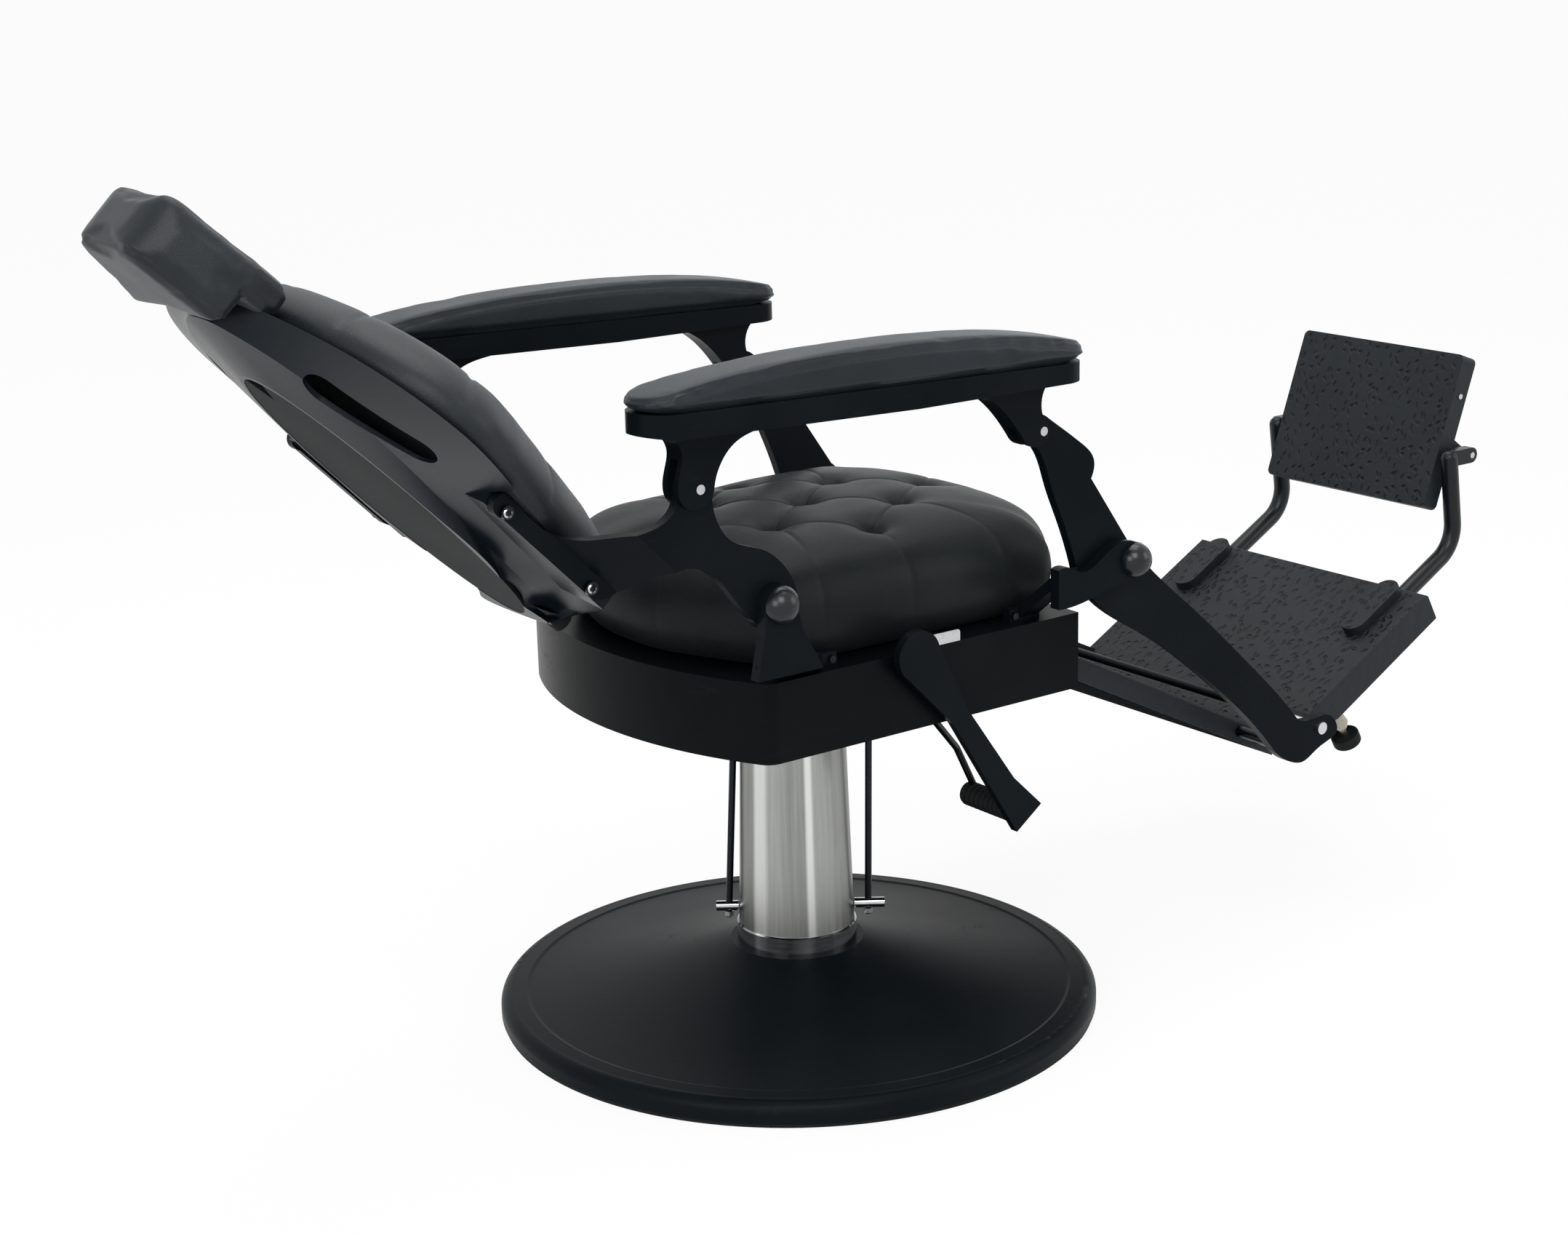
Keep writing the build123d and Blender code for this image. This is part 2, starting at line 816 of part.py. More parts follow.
# ---------------------------------------------------------------- stanchions
foot_outer = stanchion_foot_inner + stanchion_foot_thickness
foot_middle = stanchion_foot_inner + stanchion_foot_thickness / 2
plate_middle = boss_inner + stanchion_thickness / 2


def web_end(side, out, start, length, rise):
    """Upright rectangle where a bracket's web meets its foot or its plate, parallel to YZ."""
    with BuildSketch(side_plane(side, out)) as face:
        with Locations((start + length / 2, deck_top + rise + web_thickness / 2)):
            Rectangle(length, web_thickness)
    return face.sketch


def rear_stanchion(side):
    """Bracket that stands on the deck and carries the recline pin outside the back casting."""
    with BuildPart() as bracket:
        add(web_end(side, plate_middle, rear_plate_front + 2, rear_plate_length - 4, rear_plate_rise))
        add(web_end(side, foot_middle, rear_foot_front + 14, rear_foot_length - 19, 0))
        loft(ruled=True)
        with BuildSketch(side_plane(side, stanchion_foot_inner)):
            with Locations((rear_foot_front + rear_foot_length / 2, deck_top + stanchion_foot_height / 2)):
                Rectangle(rear_foot_length, stanchion_foot_height)
        extrude(amount=side * stanchion_foot_thickness)
        with BuildSketch(side_plane(side, boss_inner)):
            with BuildLine():
                Polyline(
                    (rear_plate_front, deck_top + rear_plate_rise),
                    (rear_plate_front + rear_plate_length, deck_top + rear_plate_rise),
                    beside(recline_pin, 22, -30),
                    beside(recline_pin, 19, 0),
                    beside(recline_pin, -19, 0),
                    beside(recline_pin, -26, -30),
                    close=True,
                )
            make_face()
            with Locations(recline_pin):
                Circle(stanchion_boss_radius)
        extrude(amount=side * stanchion_thickness)
        with BuildSketch(side_plane(side, boss_inner)):
            with Locations(recline_pin):
                Circle(pivot_radius - running_clearance)
        extrude(amount=side * stanchion_thickness, mode=Mode.SUBTRACT)
    return bracket


def front_stanchion(side):
    """Bracket that stands on the deck and reaches forward to the leg pin outside the leg casting."""
    web_front = front_foot_front + 2
    plate_back = front_foot_front + 35
    with BuildPart() as bracket:
        add(web_end(side, plate_middle, web_front, front_web_width, front_plate_rise + front_web_width))
        add(web_end(side, foot_middle, web_front, front_web_width, 0))
        loft(ruled=True)
        with BuildSketch(side_plane(side, stanchion_foot_inner)):
            with Locations((front_foot_front + front_foot_length / 2, deck_top + stanchion_foot_height / 2)):
                Rectangle(front_foot_length, stanchion_foot_height)
        extrude(amount=side * stanchion_foot_thickness)
        with BuildSketch(side_plane(side, boss_inner)):
            with BuildLine():
                Line(
                    (plate_back, deck_top + front_plate_rise),
                    (plate_back, deck_top + front_plate_rise + front_plate_height),
                )
                Spline(
                    (plate_back, deck_top + front_plate_rise + front_plate_height),
                    beside(leg_pin, 98, 8),
                    beside(leg_pin, 81, 0),
                    beside(leg_pin, 33, 20),
                    beside(leg_pin, 0, stanchion_boss_radius),
                )
                Line(beside(leg_pin, 0, stanchion_boss_radius), beside(leg_pin, 0, -stanchion_boss_radius))
                Spline(
                    beside(leg_pin, 0, -stanchion_boss_radius),
                    beside(leg_pin, 32, -25),
                    beside(leg_pin, 85, -36),
                    (plate_back, deck_top + front_plate_rise),
                )
            make_face()
            with Locations(leg_pin):
                Circle(stanchion_boss_radius)
        extrude(amount=side * stanchion_thickness)
        with BuildSketch(side_plane(side, boss_inner)):
            with Locations(leg_pin):
                Circle(pivot_radius - running_clearance)
        extrude(amount=side * stanchion_thickness, mode=Mode.SUBTRACT)
    return bracket


for hand, side in SIDES.items():
    save(rear_stanchion(side), f"rear_stanchion_{hand}")
    save(front_stanchion(side), f"front_stanchion_{hand}")

with BuildPart() as pivot_pins:
    for side in SIDES.values():
        with BuildSketch(side_plane(side, casting_inner - boss_gap)):
            with Locations(recline_pin, leg_pin):
                Circle(pivot_radius - running_clearance)
        extrude(amount=side * (boss_outer - casting_inner + boss_gap))
        with BuildSketch(side_plane(side, casting_inner - boss_gap)):
            with Locations(recline_pin, leg_pin):
                Circle(pivot_head_radius)
        extrude(amount=-side * pivot_head_thickness)
save(pivot_pins, "pivot_pins")

dome_foot_radius = (dome_radius**2 - dome_sink**2) ** 0.5

with BuildPart() as dome_caps:
    for side in SIDES.values():
        for pin in (recline_pin, leg_pin):
            seat = (side * boss_outer, pin[0], pin[1])
            with BuildSketch(Plane(origin=seat, x_dir=(side, 0, 0), z_dir=(0, 0, 1))):
                with BuildLine():
                    Line((0, 0), (dome_radius - dome_sink, 0))
                    CenterArc((-dome_sink, 0), dome_radius, 0, degrees(acos(dome_sink / dome_radius)))
                    Line((0, dome_foot_radius), (0, 0))
                make_face()
            revolve(axis=Axis(seat, (side, 0, 0)))
save(dome_caps, "dome_caps")

with BuildPart() as stanchion_screws:
    screw_places = [
        (back, deck_top + stanchion_foot_height / 2)
        for back in (rear_foot_front + 7, front_foot_front + front_foot_length - 6)
    ]
    for side in SIDES.values():
        with BuildSketch(side_plane(side, foot_outer)):
            with Locations(*screw_places):
                Circle(4)
        extrude(amount=side * 3)
save(stanchion_screws, "stanchion_screws")

with BuildPart() as steel_tab:
    with BuildSketch(Plane.XY.offset(deck_top)):
        with Locations((-skirt_half_width + skirt_wall / 2, -38)):
            Rectangle(skirt_wall, 42)
    extrude(amount=13)
    fillet(steel_tab.edges().filter_by(Axis.X).group_by(Axis.Z)[-1], 4)
save(steel_tab, "steel_tab")

# ---------------------------------------------------------------- pump lever
lever_side = SIDES["right"]


def on_lever(along, off):
    """Point given down the lever from its head and off forwards, as Y and Z."""
    lean = radians(lever_lean)
    return beside(
        lever_pin,
        lever_head_back - along * sin(lean) - off * cos(lean),
        lever_head_rise - along * cos(lean) + off * sin(lean),
    )


lever_foot = on_lever(lever_length, 0)

with BuildPart() as lever_bearing:
    with BuildSketch(side_plane(lever_side, skirt_half_width - skirt_wall - 12)):
        with Locations(lever_pin):
            Circle(bush_radius)
    extrude(amount=lever_side * (skirt_wall + 12))
    with BuildSketch(side_plane(lever_side, skirt_half_width)):
        with Locations(lever_pin):
            Circle(bush_radius + 3)
    extrude(amount=lever_side * bush_collar)
    with BuildSketch(side_plane(lever_side, lever_shaft_end)):
        with Locations(lever_pin):
            Circle(lever_shaft_radius + running_clearance)
    extrude(amount=lever_side * 100, mode=Mode.SUBTRACT)
save(lever_bearing, "lever_bearing")

with BuildPart() as lever_bar:
    with BuildSketch(side_plane(lever_side, lever_inner)) as lever_face:
        with BuildLine():
            Polyline(
                on_lever(0, -lever_head_radius),
                on_lever(lever_neck_start, -lever_neck_width / 2),
                on_lever(lever_length, -lever_foot_width / 2),
                on_lever(lever_length, lever_foot_width / 2),
                on_lever(lever_flare_start, lever_neck_width / 2),
                on_lever(lever_neck_start, lever_neck_width / 2),
                on_lever(0, lever_head_radius),
                close=True,
            )
        make_face()
        with Locations(on_lever(0, 0)):
            Circle(lever_head_radius)
    extrude(amount=lever_side * lever_thickness)
    with BuildSketch(side_plane(lever_side, lever_shaft_end)):
        with Locations(lever_pin):
            Circle(lever_shaft_radius)
    extrude(amount=lever_side * (lever_inner - lever_shaft_end))
save(lever_bar, "lever_bar")

grip_middle = on_lever(lever_length - grip_radius - 3, -6)

with BuildPart() as lever_grip:
    with BuildSketch(side_plane(lever_side, grip_end)):
        with Locations(grip_middle):
            Circle(grip_radius)
    extrude(amount=lever_side * (lever_inner - grip_end))
save(lever_grip, "lever_grip")

rod_out = grip_end + 8
rod_start = (lever_side * rod_out, grip_middle[0], grip_middle[1] + grip_radius)
rod_rise = (lever_side * rod_out, grip_middle[0] + 24, grip_middle[1] + grip_radius + 48)
rod_turn = (lever_side * (lever_shaft_end + 6), lever_pin[0] - 45, lever_pin[1] - 70)
rod_end = (lever_side * (lever_shaft_end + 6), lever_pin[0] - 6, lever_pin[1] - lever_shaft_radius)

with BuildPart() as lever_rod:
    with BuildLine() as rod_path:
        FilletPolyline(rod_start, rod_rise, rod_turn, rod_end, radius=14)
    with BuildSketch(Plane(origin=rod_start, z_dir=rod_path.line % 0)):
        Circle(lever_rod_radius)
    sweep()
    add(lever_bar.part, mode=Mode.SUBTRACT)
    add(lever_grip.part, mode=Mode.SUBTRACT)
save(lever_rod, "lever_rod")

# ---------------------------------------------------------------- backrest
bolt_places = [on_back(along, bolt_line) for along in (lower_bolt_along, upper_bolt_along)]


def back_section(along):
    """Plane across the back, with local x to the side and local y out from the back."""
    return Plane(
        origin=(0, *on_back(along, 0)),
        x_dir=(1, 0, 0),
        z_dir=(0, -recline_cos, -recline_sin),
    )


def tail_outline(margin):
    """Room for the tail of a side casting, drawn in Y and Z."""
    with BuildSketch() as room:
        with BuildLine():
            Polyline(
                on_back(tail_bottom - margin, lug_back - 40),
                on_back(tail_top + margin, lug_back - 40),
                on_back(tail_top + margin, shell_front + 2),
                on_back(tail_bottom - margin, shell_front + 2),
                close=True,
            )
        make_face()
    return room.sketch


def shell_body(inset, front, ridge, back):
    """Shield-shaped solid: a wide front rim, a narrower ridge behind it and a flat back."""
    with BuildPart() as body:
        with BuildSketch(back_frame.offset(front)):
            add(shield(shell_half_width - inset, shell_top - inset, shell_bottom + inset, shell_widest))
        with BuildSketch(back_frame.offset(ridge)):
            add(shield(ridge_half_width - inset, ridge_top - inset, ridge_bottom + inset, ridge_widest))
        with BuildSketch(back_frame.offset(back)):
            add(
                oval(
                    panel_half_width + panel_margin - inset,
                    panel_middle + panel_half_length + panel_margin - inset,
                    panel_middle - panel_half_length - panel_margin + inset,
                    panel_middle,
                )
            )
        loft(ruled=True)
    return body.part


with BuildPart() as back_shell:
    add(shell_body(0, shell_front, shell_ridge, shell_back))
    for side in SIDES.values():
        with BuildSketch(back_section(lug_foot)):
            with BuildLine():
                Polyline(
                    (side * lug_inner, lug_back + 6),
                    (side * lug_inner, lug_front),
                    (side * tail_inner, lug_front),
                    (side * tail_inner, lug_back),
                    close=True,
                )
            make_face()
        extrude(amount=-lug_length)
    with BuildSketch(back_section(bumper_along)):
        with Locations((0, bumper_line)):
            RectangleRounded(2 * bumper_radius + 4, 2 * bumper_radius, 4)
    extrude(amount=-bumper_boss_length)
    add(shell_body(shell_wall, shell_front + 1, shell_ridge + 4, shell_back + 7), mode=Mode.SUBTRACT)
    with BuildSketch(back_frame.offset(shell_back - 5)):
        with Locations((0, panel_middle)):
            Ellipse(panel_half_width + slip_clearance, panel_half_length + slip_clearance)
    extrude(amount=5 + panel_thickness, mode=Mode.SUBTRACT)
    for side in SIDES.values():
        with BuildSketch(back_frame.offset(shell_back)):
            with Locations(Location((side * grip_out, grip_along, 0), (0, 0, 90 + side * grip_tilt))):
                SlotOverall(grip_length, grip_width)
        extrude(amount=shell_front - shell_back, mode=Mode.SUBTRACT)
        with BuildSketch(side_plane(side, tail_inner)):
            add(tail_outline(notch_margin))
        extrude(amount=side * (shell_half_width - tail_inner + 5), mode=Mode.SUBTRACT)
        with BuildSketch(side_plane(side, tail_inner - 22)):
            with Locations(*bolt_places):
                Circle(casting_bolt_radius + running_clearance)
        extrude(amount=side * 23, mode=Mode.SUBTRACT)
    with BuildSketch(back_section(shell_top - 40)):
        with Locations((0, post_line + post_thickness / 2)):
            Rectangle(post_width + 4, post_thickness + 8)
    extrude(amount=-60, mode=Mode.SUBTRACT)
save(back_shell, "back_shell")

with BuildPart() as back_panel:
    with BuildSketch(back_frame.offset(shell_back + 0.5)):
        with Locations((0, panel_middle)):
            Ellipse(panel_half_width, panel_half_length)
        with BuildLine():
            Polyline(
                (-panel_notch_width / 2, panel_middle + panel_half_length + 2),
                (panel_notch_width / 2, panel_middle + panel_half_length + 2),
                (0, panel_middle + panel_half_length - panel_notch_depth),
                close=True,
            )
        make_face(mode=Mode.SUBTRACT)
    extrude(amount=panel_thickness - 0.5)
save(back_panel, "back_panel")

with BuildPart() as back_cushion:
    with BuildSketch(back_frame.offset(shell_front + soft_gap)):
        add(
            shield(
                shell_half_width - back_cushion_rim,
                back_cushion_top,
                shell_bottom + back_cushion_rim,
                shell_widest,
            )
        )
    with BuildSketch(back_frame.offset(back_cushion_face)):
        add(shield(0.82 * shell_half_width, back_cushion_top - 22, shell_bottom + 70, shell_widest - 5))
    with BuildSketch(back_frame.offset(back_cushion_crown)):
        add(shield(0.46 * shell_half_width, back_cushion_top - 85, shell_bottom + 160, shell_widest - 35))
    loft(ruled=True)
save(back_cushion, "back_cushion")

with BuildPart() as back_bumper:
    with BuildSketch(back_section(bumper_along)):
        with Locations((0, bumper_line)):
            Circle(bumper_radius)
    extrude(amount=bumper_length)
save(back_bumper, "back_bumper")

with BuildPart() as headrest_guide:
    with BuildSketch(back_section(guide_foot)):
        with Locations((0, (post_line + post_thickness + 4 + shell_back + 7) / 2)):
            Rectangle(post_width + 2 * guide_wall, post_line + post_thickness + 4 - shell_back - 7)
        with Locations((0, post_line + post_thickness / 2)):
            Rectangle(
                post_width + 4 * running_clearance,
                post_thickness + 4 * running_clearance,
                mode=Mode.SUBTRACT,
            )
    extrude(amount=-guide_length)
save(headrest_guide, "headrest_guide")


def back_casting(side):
    """Y-shaped casting: tail bent in along the back, one arm to the recline pin, one arm to the rear arm pin."""
    with BuildPart() as casting:
        with BuildSketch(side_plane(side, tail_inner)):
            with BuildLine():
                Spline(
                    on_back(292, -88.5),
                    on_back(262, -90),
                    on_back(226, -88.5),
                    on_back(201, -76),
                    on_back(186, -54),
                    beside(rear_arm_pin, 61, -35),
                    beside(rear_arm_pin, 35, -27),
                    beside(rear_arm_pin, 20, -4),
                )
                ThreePointArc(
                    beside(rear_arm_pin, 20, -4),
                    beside(rear_arm_pin, 2, 20),
                    beside(rear_arm_pin, -19, -7),
                )
                Spline(
                    beside(rear_arm_pin, -19, -7),
                    beside(rear_arm_pin, -23, -34),
                    beside(recline_pin, 50, 72),
                    beside(recline_pin, 11, 56),
                    beside(recline_pin, -14, 36),
                    beside(recline_pin, -28, 11),
                )
                ThreePointArc(
                    beside(recline_pin, -28, 11),
                    beside(recline_pin, -14, -26),
                    beside(recline_pin, 26, -14),
                )
                Spline(
                    beside(recline_pin, 26, -14),
                    beside(recline_pin, 52, 17),
                    beside(recline_pin, 77, 43),
                    on_back(113, -39),
                    on_back(122, -60),
                    on_back(122, -84),
                    on_back(128, -99),
                    on_back(145, -109),
                )
                Line(on_back(145, -109), on_back(279, -109))
                ThreePointArc(on_back(279, -109), on_back(297, -100), on_back(292, -88.5))
            make_face()
            with Locations(rear_arm_pin):
                Circle(arm_pin_radius + running_clearance, mode=Mode.SUBTRACT)
            with Locations(recline_pin):
                Circle(pivot_radius, mode=Mode.SUBTRACT)
            with Locations(*bolt_places):
                Circle(casting_bolt_radius + slip_clearance, mode=Mode.SUBTRACT)
        extrude(amount=side * (casting_outer - tail_inner))
        with BuildSketch(back_section(-60)):
            with BuildLine():
                Polyline(
                    (side * casting_inner, rear_arm_reach),
                    (side * casting_inner, tail_bend_start),
                    (side * tail_inner, tail_bend_end),
                    (side * tail_inner, lug_back - 40),
                    (side * tail_outer, lug_back - 40),
                    (side * tail_outer, tail_bend_end - 4),
                    (side * casting_outer, tail_bend_start - 4),
                    (side * casting_outer, rear_arm_reach),
                    close=True,
                )
            make_face()
        extrude(amount=-460, mode=Mode.INTERSECT)
    return casting


for hand, side in SIDES.items():
    save(back_casting(side), f"back_casting_{hand}")

with BuildPart() as casting_bolts:
    for side in SIDES.values():
        with BuildSketch(side_plane(side, tail_inner - 20)):
            with Locations(*bolt_places):
                Circle(casting_bolt_radius)
        extrude(amount=side * (casting_thickness + 20))
        with BuildSketch(side_plane(side, tail_outer)):
            with Locations(*bolt_places):
                Circle(casting_bolt_head)
        extrude(amount=side * 4)
save(casting_bolts, "casting_bolts")

# ---------------------------------------------------------------- headrest
with BuildPart() as headrest_post:
    with BuildSketch(back_section(post_foot)):
        with Locations((0, post_line + post_thickness / 2)):
            Rectangle(post_width, post_thickness)
    extrude(amount=-post_length)
save(headrest_post, "headrest_post")

with BuildPart() as headrest_plate:
    with BuildSketch(back_frame.offset(post_line + post_thickness)):
        with Locations((0, head_plate_foot + head_plate_height / 2)):
            RectangleRounded(head_plate_width, head_plate_height, 8)
    extrude(amount=head_plate_thickness)
save(headrest_plate, "headrest_plate")

head_back = shell_front - head_step_depth
head_front = head_back + head_thickness
head_top = head_foot + head_height

with BuildPart() as headrest_cushion:
    with BuildSketch(back_frame.offset(head_back)) as head_face:
        with BuildLine():
            Polyline(
                (-head_half_width, head_foot),
                (head_half_width, head_foot),
                (head_half_width, head_step),
                (head_top_half_width, head_top),
                (-head_top_half_width, head_top),
                (-head_half_width, head_step),
                close=True,
            )
        make_face()
        fillet(head_face.vertices().group_by(Axis.Y)[-1], 22)
    extrude(amount=head_thickness)
    fillet(
        headrest_cushion.faces().sort_by(Axis(back_frame.origin, back_frame.z_dir))[-1].edges(),
        head_round,
    )
    with BuildSketch(Plane.YZ):
        with BuildLine():
            Polyline(
                on_back(head_foot - 1, head_back - 1),
                on_back(head_step, head_back - 1),
                on_back(head_step, shell_front),
                on_back(head_foot - 1, shell_front),
                close=True,
            )
        make_face()
    extrude(amount=2 * head_half_width, both=True, mode=Mode.SUBTRACT)
    with BuildSketch(back_section(head_step - 1)):
        with Locations((0, post_line + (post_thickness + head_plate_thickness) / 2)):
            Rectangle(
                head_plate_width + 2 * soft_gap,
                post_thickness + head_plate_thickness + 2 * soft_gap,
            )
    extrude(amount=head_step - 1 - head_plate_foot - head_plate_height - soft_gap, mode=Mode.SUBTRACT)
save(headrest_cushion, "headrest_cushion")


# ---------------------------------------------------------------- armrests
def arm_plan(side, overhang, width):
    """Long oval plan of an armrest, drawn in X and Y."""
    with BuildSketch(Plane.XY.offset(front_arm_pin[1])) as face:
        with Locations(Location((side * arm_middle, (arm_front + arm_rear) / 2, 0), (0, 0, 90))):
            SlotOverall(arm_rear - arm_front + 2 * overhang, width)
    return face.sketch


def arm_frame(side):
    """Cast armrest frame: an oval beam with a forked leg over each arm pin."""
    with BuildPart() as frame:
        add(arm_plan(side, 0, arm_frame_width))
        extrude(amount=150)
        with BuildSketch(Plane.YZ):
            with BuildLine():
                Polyline(
                    (arm_front - 20, front_arm_pin[1] + 53),
                    beside(front_arm_pin, 193, 54),
                    beside(rear_arm_pin, 39, 58),
                    (arm_rear + 20, rear_arm_pin[1] + 66),
                    (arm_rear + 20, rear_arm_pin[1] + arm_beam_top_rear),
                    (arm_front - 20, front_arm_pin[1] + arm_beam_top_front),
                    close=True,
                )
            make_face()
        extrude(amount=side * 2 * arm_middle, mode=Mode.INTERSECT)
        with BuildSketch(side_plane(side, ear_inner)):
            with BuildLine():
                Spline(
                    beside(rear_arm_pin, 44, 62),
                    beside(rear_arm_pin, 27, 52),
                    beside(rear_arm_pin, 20, 38),
                    beside(rear_arm_pin, 23, 20),
                    beside(rear_arm_pin, 26, 2),
                )
                ThreePointArc(
                    beside(rear_arm_pin, 26, 2),
                    beside(rear_arm_pin, 4, -20),
                    beside(rear_arm_pin, -17, 0),
                )
                Spline(
                    beside(rear_arm_pin, -17, 0),
                    beside(rear_arm_pin, -24, 20),
                    beside(rear_arm_pin, -41, 39),
                    beside(rear_arm_pin, -74, 50),
                    beside(rear_arm_pin, -112, 55),
                )
                Polyline(
                    beside(rear_arm_pin, -112, 55),
                    beside(rear_arm_pin, -112, 70),
                    beside(rear_arm_pin, 44, 70),
                    beside(rear_arm_pin, 44, 62),
                )
            make_face()
            with BuildLine():
                Spline(
                    beside(front_arm_pin, 130, 56),
                    beside(front_arm_pin, 83, 49),
                    beside(front_arm_pin, 51, 24),
                    beside(front_arm_pin, 28, -5),
                )
                ThreePointArc(
                    beside(front_arm_pin, 28, -5),
                    beside(front_arm_pin, 6, -16),
                    beside(front_arm_pin, -13, 2),
                )
                Spline(
                    beside(front_arm_pin, -13, 2),
                    beside(front_arm_pin, 3, 28),
                    beside(front_arm_pin, -2, 46),
                    beside(front_arm_pin, -34, 55),
                )
                Polyline(
                    beside(front_arm_pin, -34, 55),
                    beside(front_arm_pin, -34, 66),
                    beside(front_arm_pin, 130, 66),
                    beside(front_arm_pin, 130, 56),
                )
            make_face()
        extrude(amount=side * (ear_outer - ear_inner))
        with BuildSketch(side_plane(side, casting_inner - slot_clearance)):
            with Locations(rear_arm_pin, front_arm_pin):
                Circle(ear_slot_radius)
        extrude(amount=side * (casting_thickness + 2 * slot_clearance), mode=Mode.SUBTRACT)
        with BuildSketch(side_plane(side, ear_inner)):
            with Locations(rear_arm_pin, front_arm_pin):
                Circle(arm_pin_radius)
        extrude(amount=side * (ear_outer - ear_inner), mode=Mode.SUBTRACT)
    return frame


def arm_pad(side):
    """Padded top of an armrest, a little wider than its frame."""
    with BuildPart() as pad:
        add(arm_plan(side, pad_overhang, arm_pad_width))
        extrude(amount=150)
        with BuildSketch(Plane.YZ):
            with BuildLine():
                Polyline(
                    (arm_front - 20, front_arm_pin[1] + 85),
                    (arm_front - 20, front_arm_pin[1] + arm_beam_top_front + soft_gap),
                    (arm_rear + 20, rear_arm_pin[1] + arm_beam_top_rear + soft_gap),
                    (arm_rear + 20, rear_arm_pin[1] + 92),
                )
                Spline(
                    (arm_rear + 20, rear_arm_pin[1] + 92),
                    beside(rear_arm_pin, 36, 103),
                    beside(rear_arm_pin, -50, 112),
                    beside(front_arm_pin, 176, 119),
                    beside(front_arm_pin, 39, 107),
                    (arm_front - 20, front_arm_pin[1] + 85),
                )
            make_face()
        extrude(amount=side * 2 * arm_middle, mode=Mode.INTERSECT)
    return pad


def arm_pins(side):
    """The two hinge pins of an armrest, one in each forked leg."""
    with BuildPart() as pins:
        with BuildSketch(side_plane(side, ear_inner)):
            with Locations(rear_arm_pin, front_arm_pin):
                Circle(arm_pin_radius)
        extrude(amount=side * (ear_outer - ear_inner + 1))
    return pins


for hand, side in SIDES.items():
    save(arm_frame(side), f"arm_frame_{hand}")
    save(arm_pad(side), f"arm_pad_{hand}")
    save(arm_pins(side), f"arm_pins_{hand}")


# ---------------------------------------------------------------- leg rest
stay_line = -calf_depth / 2
stay_places = [on_calf(stay_first + step * stay_pitch, stay_line) for step in range(2)]


def leg_casting(side):
    """Bent casting: a link up to the front arm pin and a leg down to the footrest pin, about the leg pin."""
    with BuildPart() as casting:
        with BuildSketch(side_plane(side, casting_inner)):
            with BuildLine():
                ThreePointArc(
                    beside(front_arm_pin, 17, -6),
                    beside(front_arm_pin, 10, 14),
                    beside(front_arm_pin, -10, 14),
                )
                Spline(
                    beside(front_arm_pin, -10, 14),
                    beside(front_arm_pin, -37, -5),
                    beside(leg_pin, 71, 141),
                    beside(leg_pin, 52, 123),
                    beside(leg_pin, 54, 98),
                )
                Line(beside(leg_pin, 54, 98), beside(leg_pin, -1, 20))
                Spline(
                    beside(leg_pin, -1, 20),
                    beside(leg_pin, -35, -17),
                    beside(leg_pin, -103, -76),
                    beside(leg_pin, -202, -165),
                    beside(footrest_pin, 80, 62),
                    beside(footrest_pin, 38, 17),
                )
                Spline(
                    beside(footrest_pin, 38, 17),
                    beside(footrest_pin, 8, 14),
                    beside(footrest_pin, -20, 10),
                    beside(footrest_pin, -30, -8),
                    beside(footrest_pin, 0, -24),
                    beside(footrest_pin, 30, -37),
                    beside(footrest_pin, 46, -34),
                    beside(footrest_pin, 77, -14),
                )
                Spline(
                    beside(footrest_pin, 77, -14),
                    beside(leg_pin, -191, -221),
                    beside(leg_pin, -123, -162),
                    beside(leg_pin, -80, -128),
                    beside(leg_pin, -27, -92),
                    beside(leg_pin, 41, -47),
                    beside(leg_pin, 72, -8),
                )
                Spline(
                    beside(leg_pin, 72, -8),
                    beside(leg_pin, 83, 27),
                    beside(leg_pin, 94, 55),
                    beside(leg_pin, 113, 100),
                    beside(leg_pin, 123, 128),
                    beside(front_arm_pin, 17, -6),
                )
            make_face()
            with Locations(leg_pin):
                Circle(pivot_radius, mode=Mode.SUBTRACT)
            with Locations(front_arm_pin):
                Circle(arm_pin_radius + open_pivot_clearance, mode=Mode.SUBTRACT)
            with Locations(footrest_pin):
                Circle(footrest_axle_radius, mode=Mode.SUBTRACT)
        extrude(amount=side * casting_thickness)
    return casting


for hand, side in SIDES.items():
    save(leg_casting(side), f"leg_casting_{hand}")

with BuildPart() as calf_plate:
    with BuildSketch(calf_frame):
        with Locations((0, -calf_length / 2)):
            Rectangle(2 * calf_half_width, calf_length)
    extrude(amount=-calf_depth)
    fillet(
        calf_plate.faces().sort_by(Axis(calf_frame.origin, calf_frame.z_dir))[-1].edges(),
        calf_edge_round,
    )
    with BuildSketch(calf_frame.offset(-calf_wall)):
        with Locations((0, -calf_length / 2)):
            Rectangle(2 * (calf_half_width - calf_wall), calf_length - 2 * calf_wall)
    extrude(amount=-calf_depth, mode=Mode.SUBTRACT)
save(calf_plate, "calf_plate")

with BuildPart() as calf_stays:
    for side in SIDES.values():
        with BuildSketch(side_plane(side, calf_half_width)):
            with Locations(*stay_places):
                Circle(stay_radius)
        extrude(amount=side * (casting_inner - calf_half_width))
save(calf_stays, "calf_stays")

with BuildPart() as footrest_axle:
    with BuildSketch(Plane.YZ):
        with Locations(footrest_pin):
            Circle(footrest_axle_radius)
    extrude(amount=casting_outer, both=True)
    for side in SIDES.values():
        with BuildSketch(side_plane(side, casting_outer)):
            with Locations(footrest_pin):
                Circle(footrest_axle_head)
        extrude(amount=side * 4)
save(footrest_axle, "footrest_axle")

# ---------------------------------------------------------------- footrest
tube_line = -foot_drop - tube_sink
socket_middle = foot_length - 2 - socket_length / 2

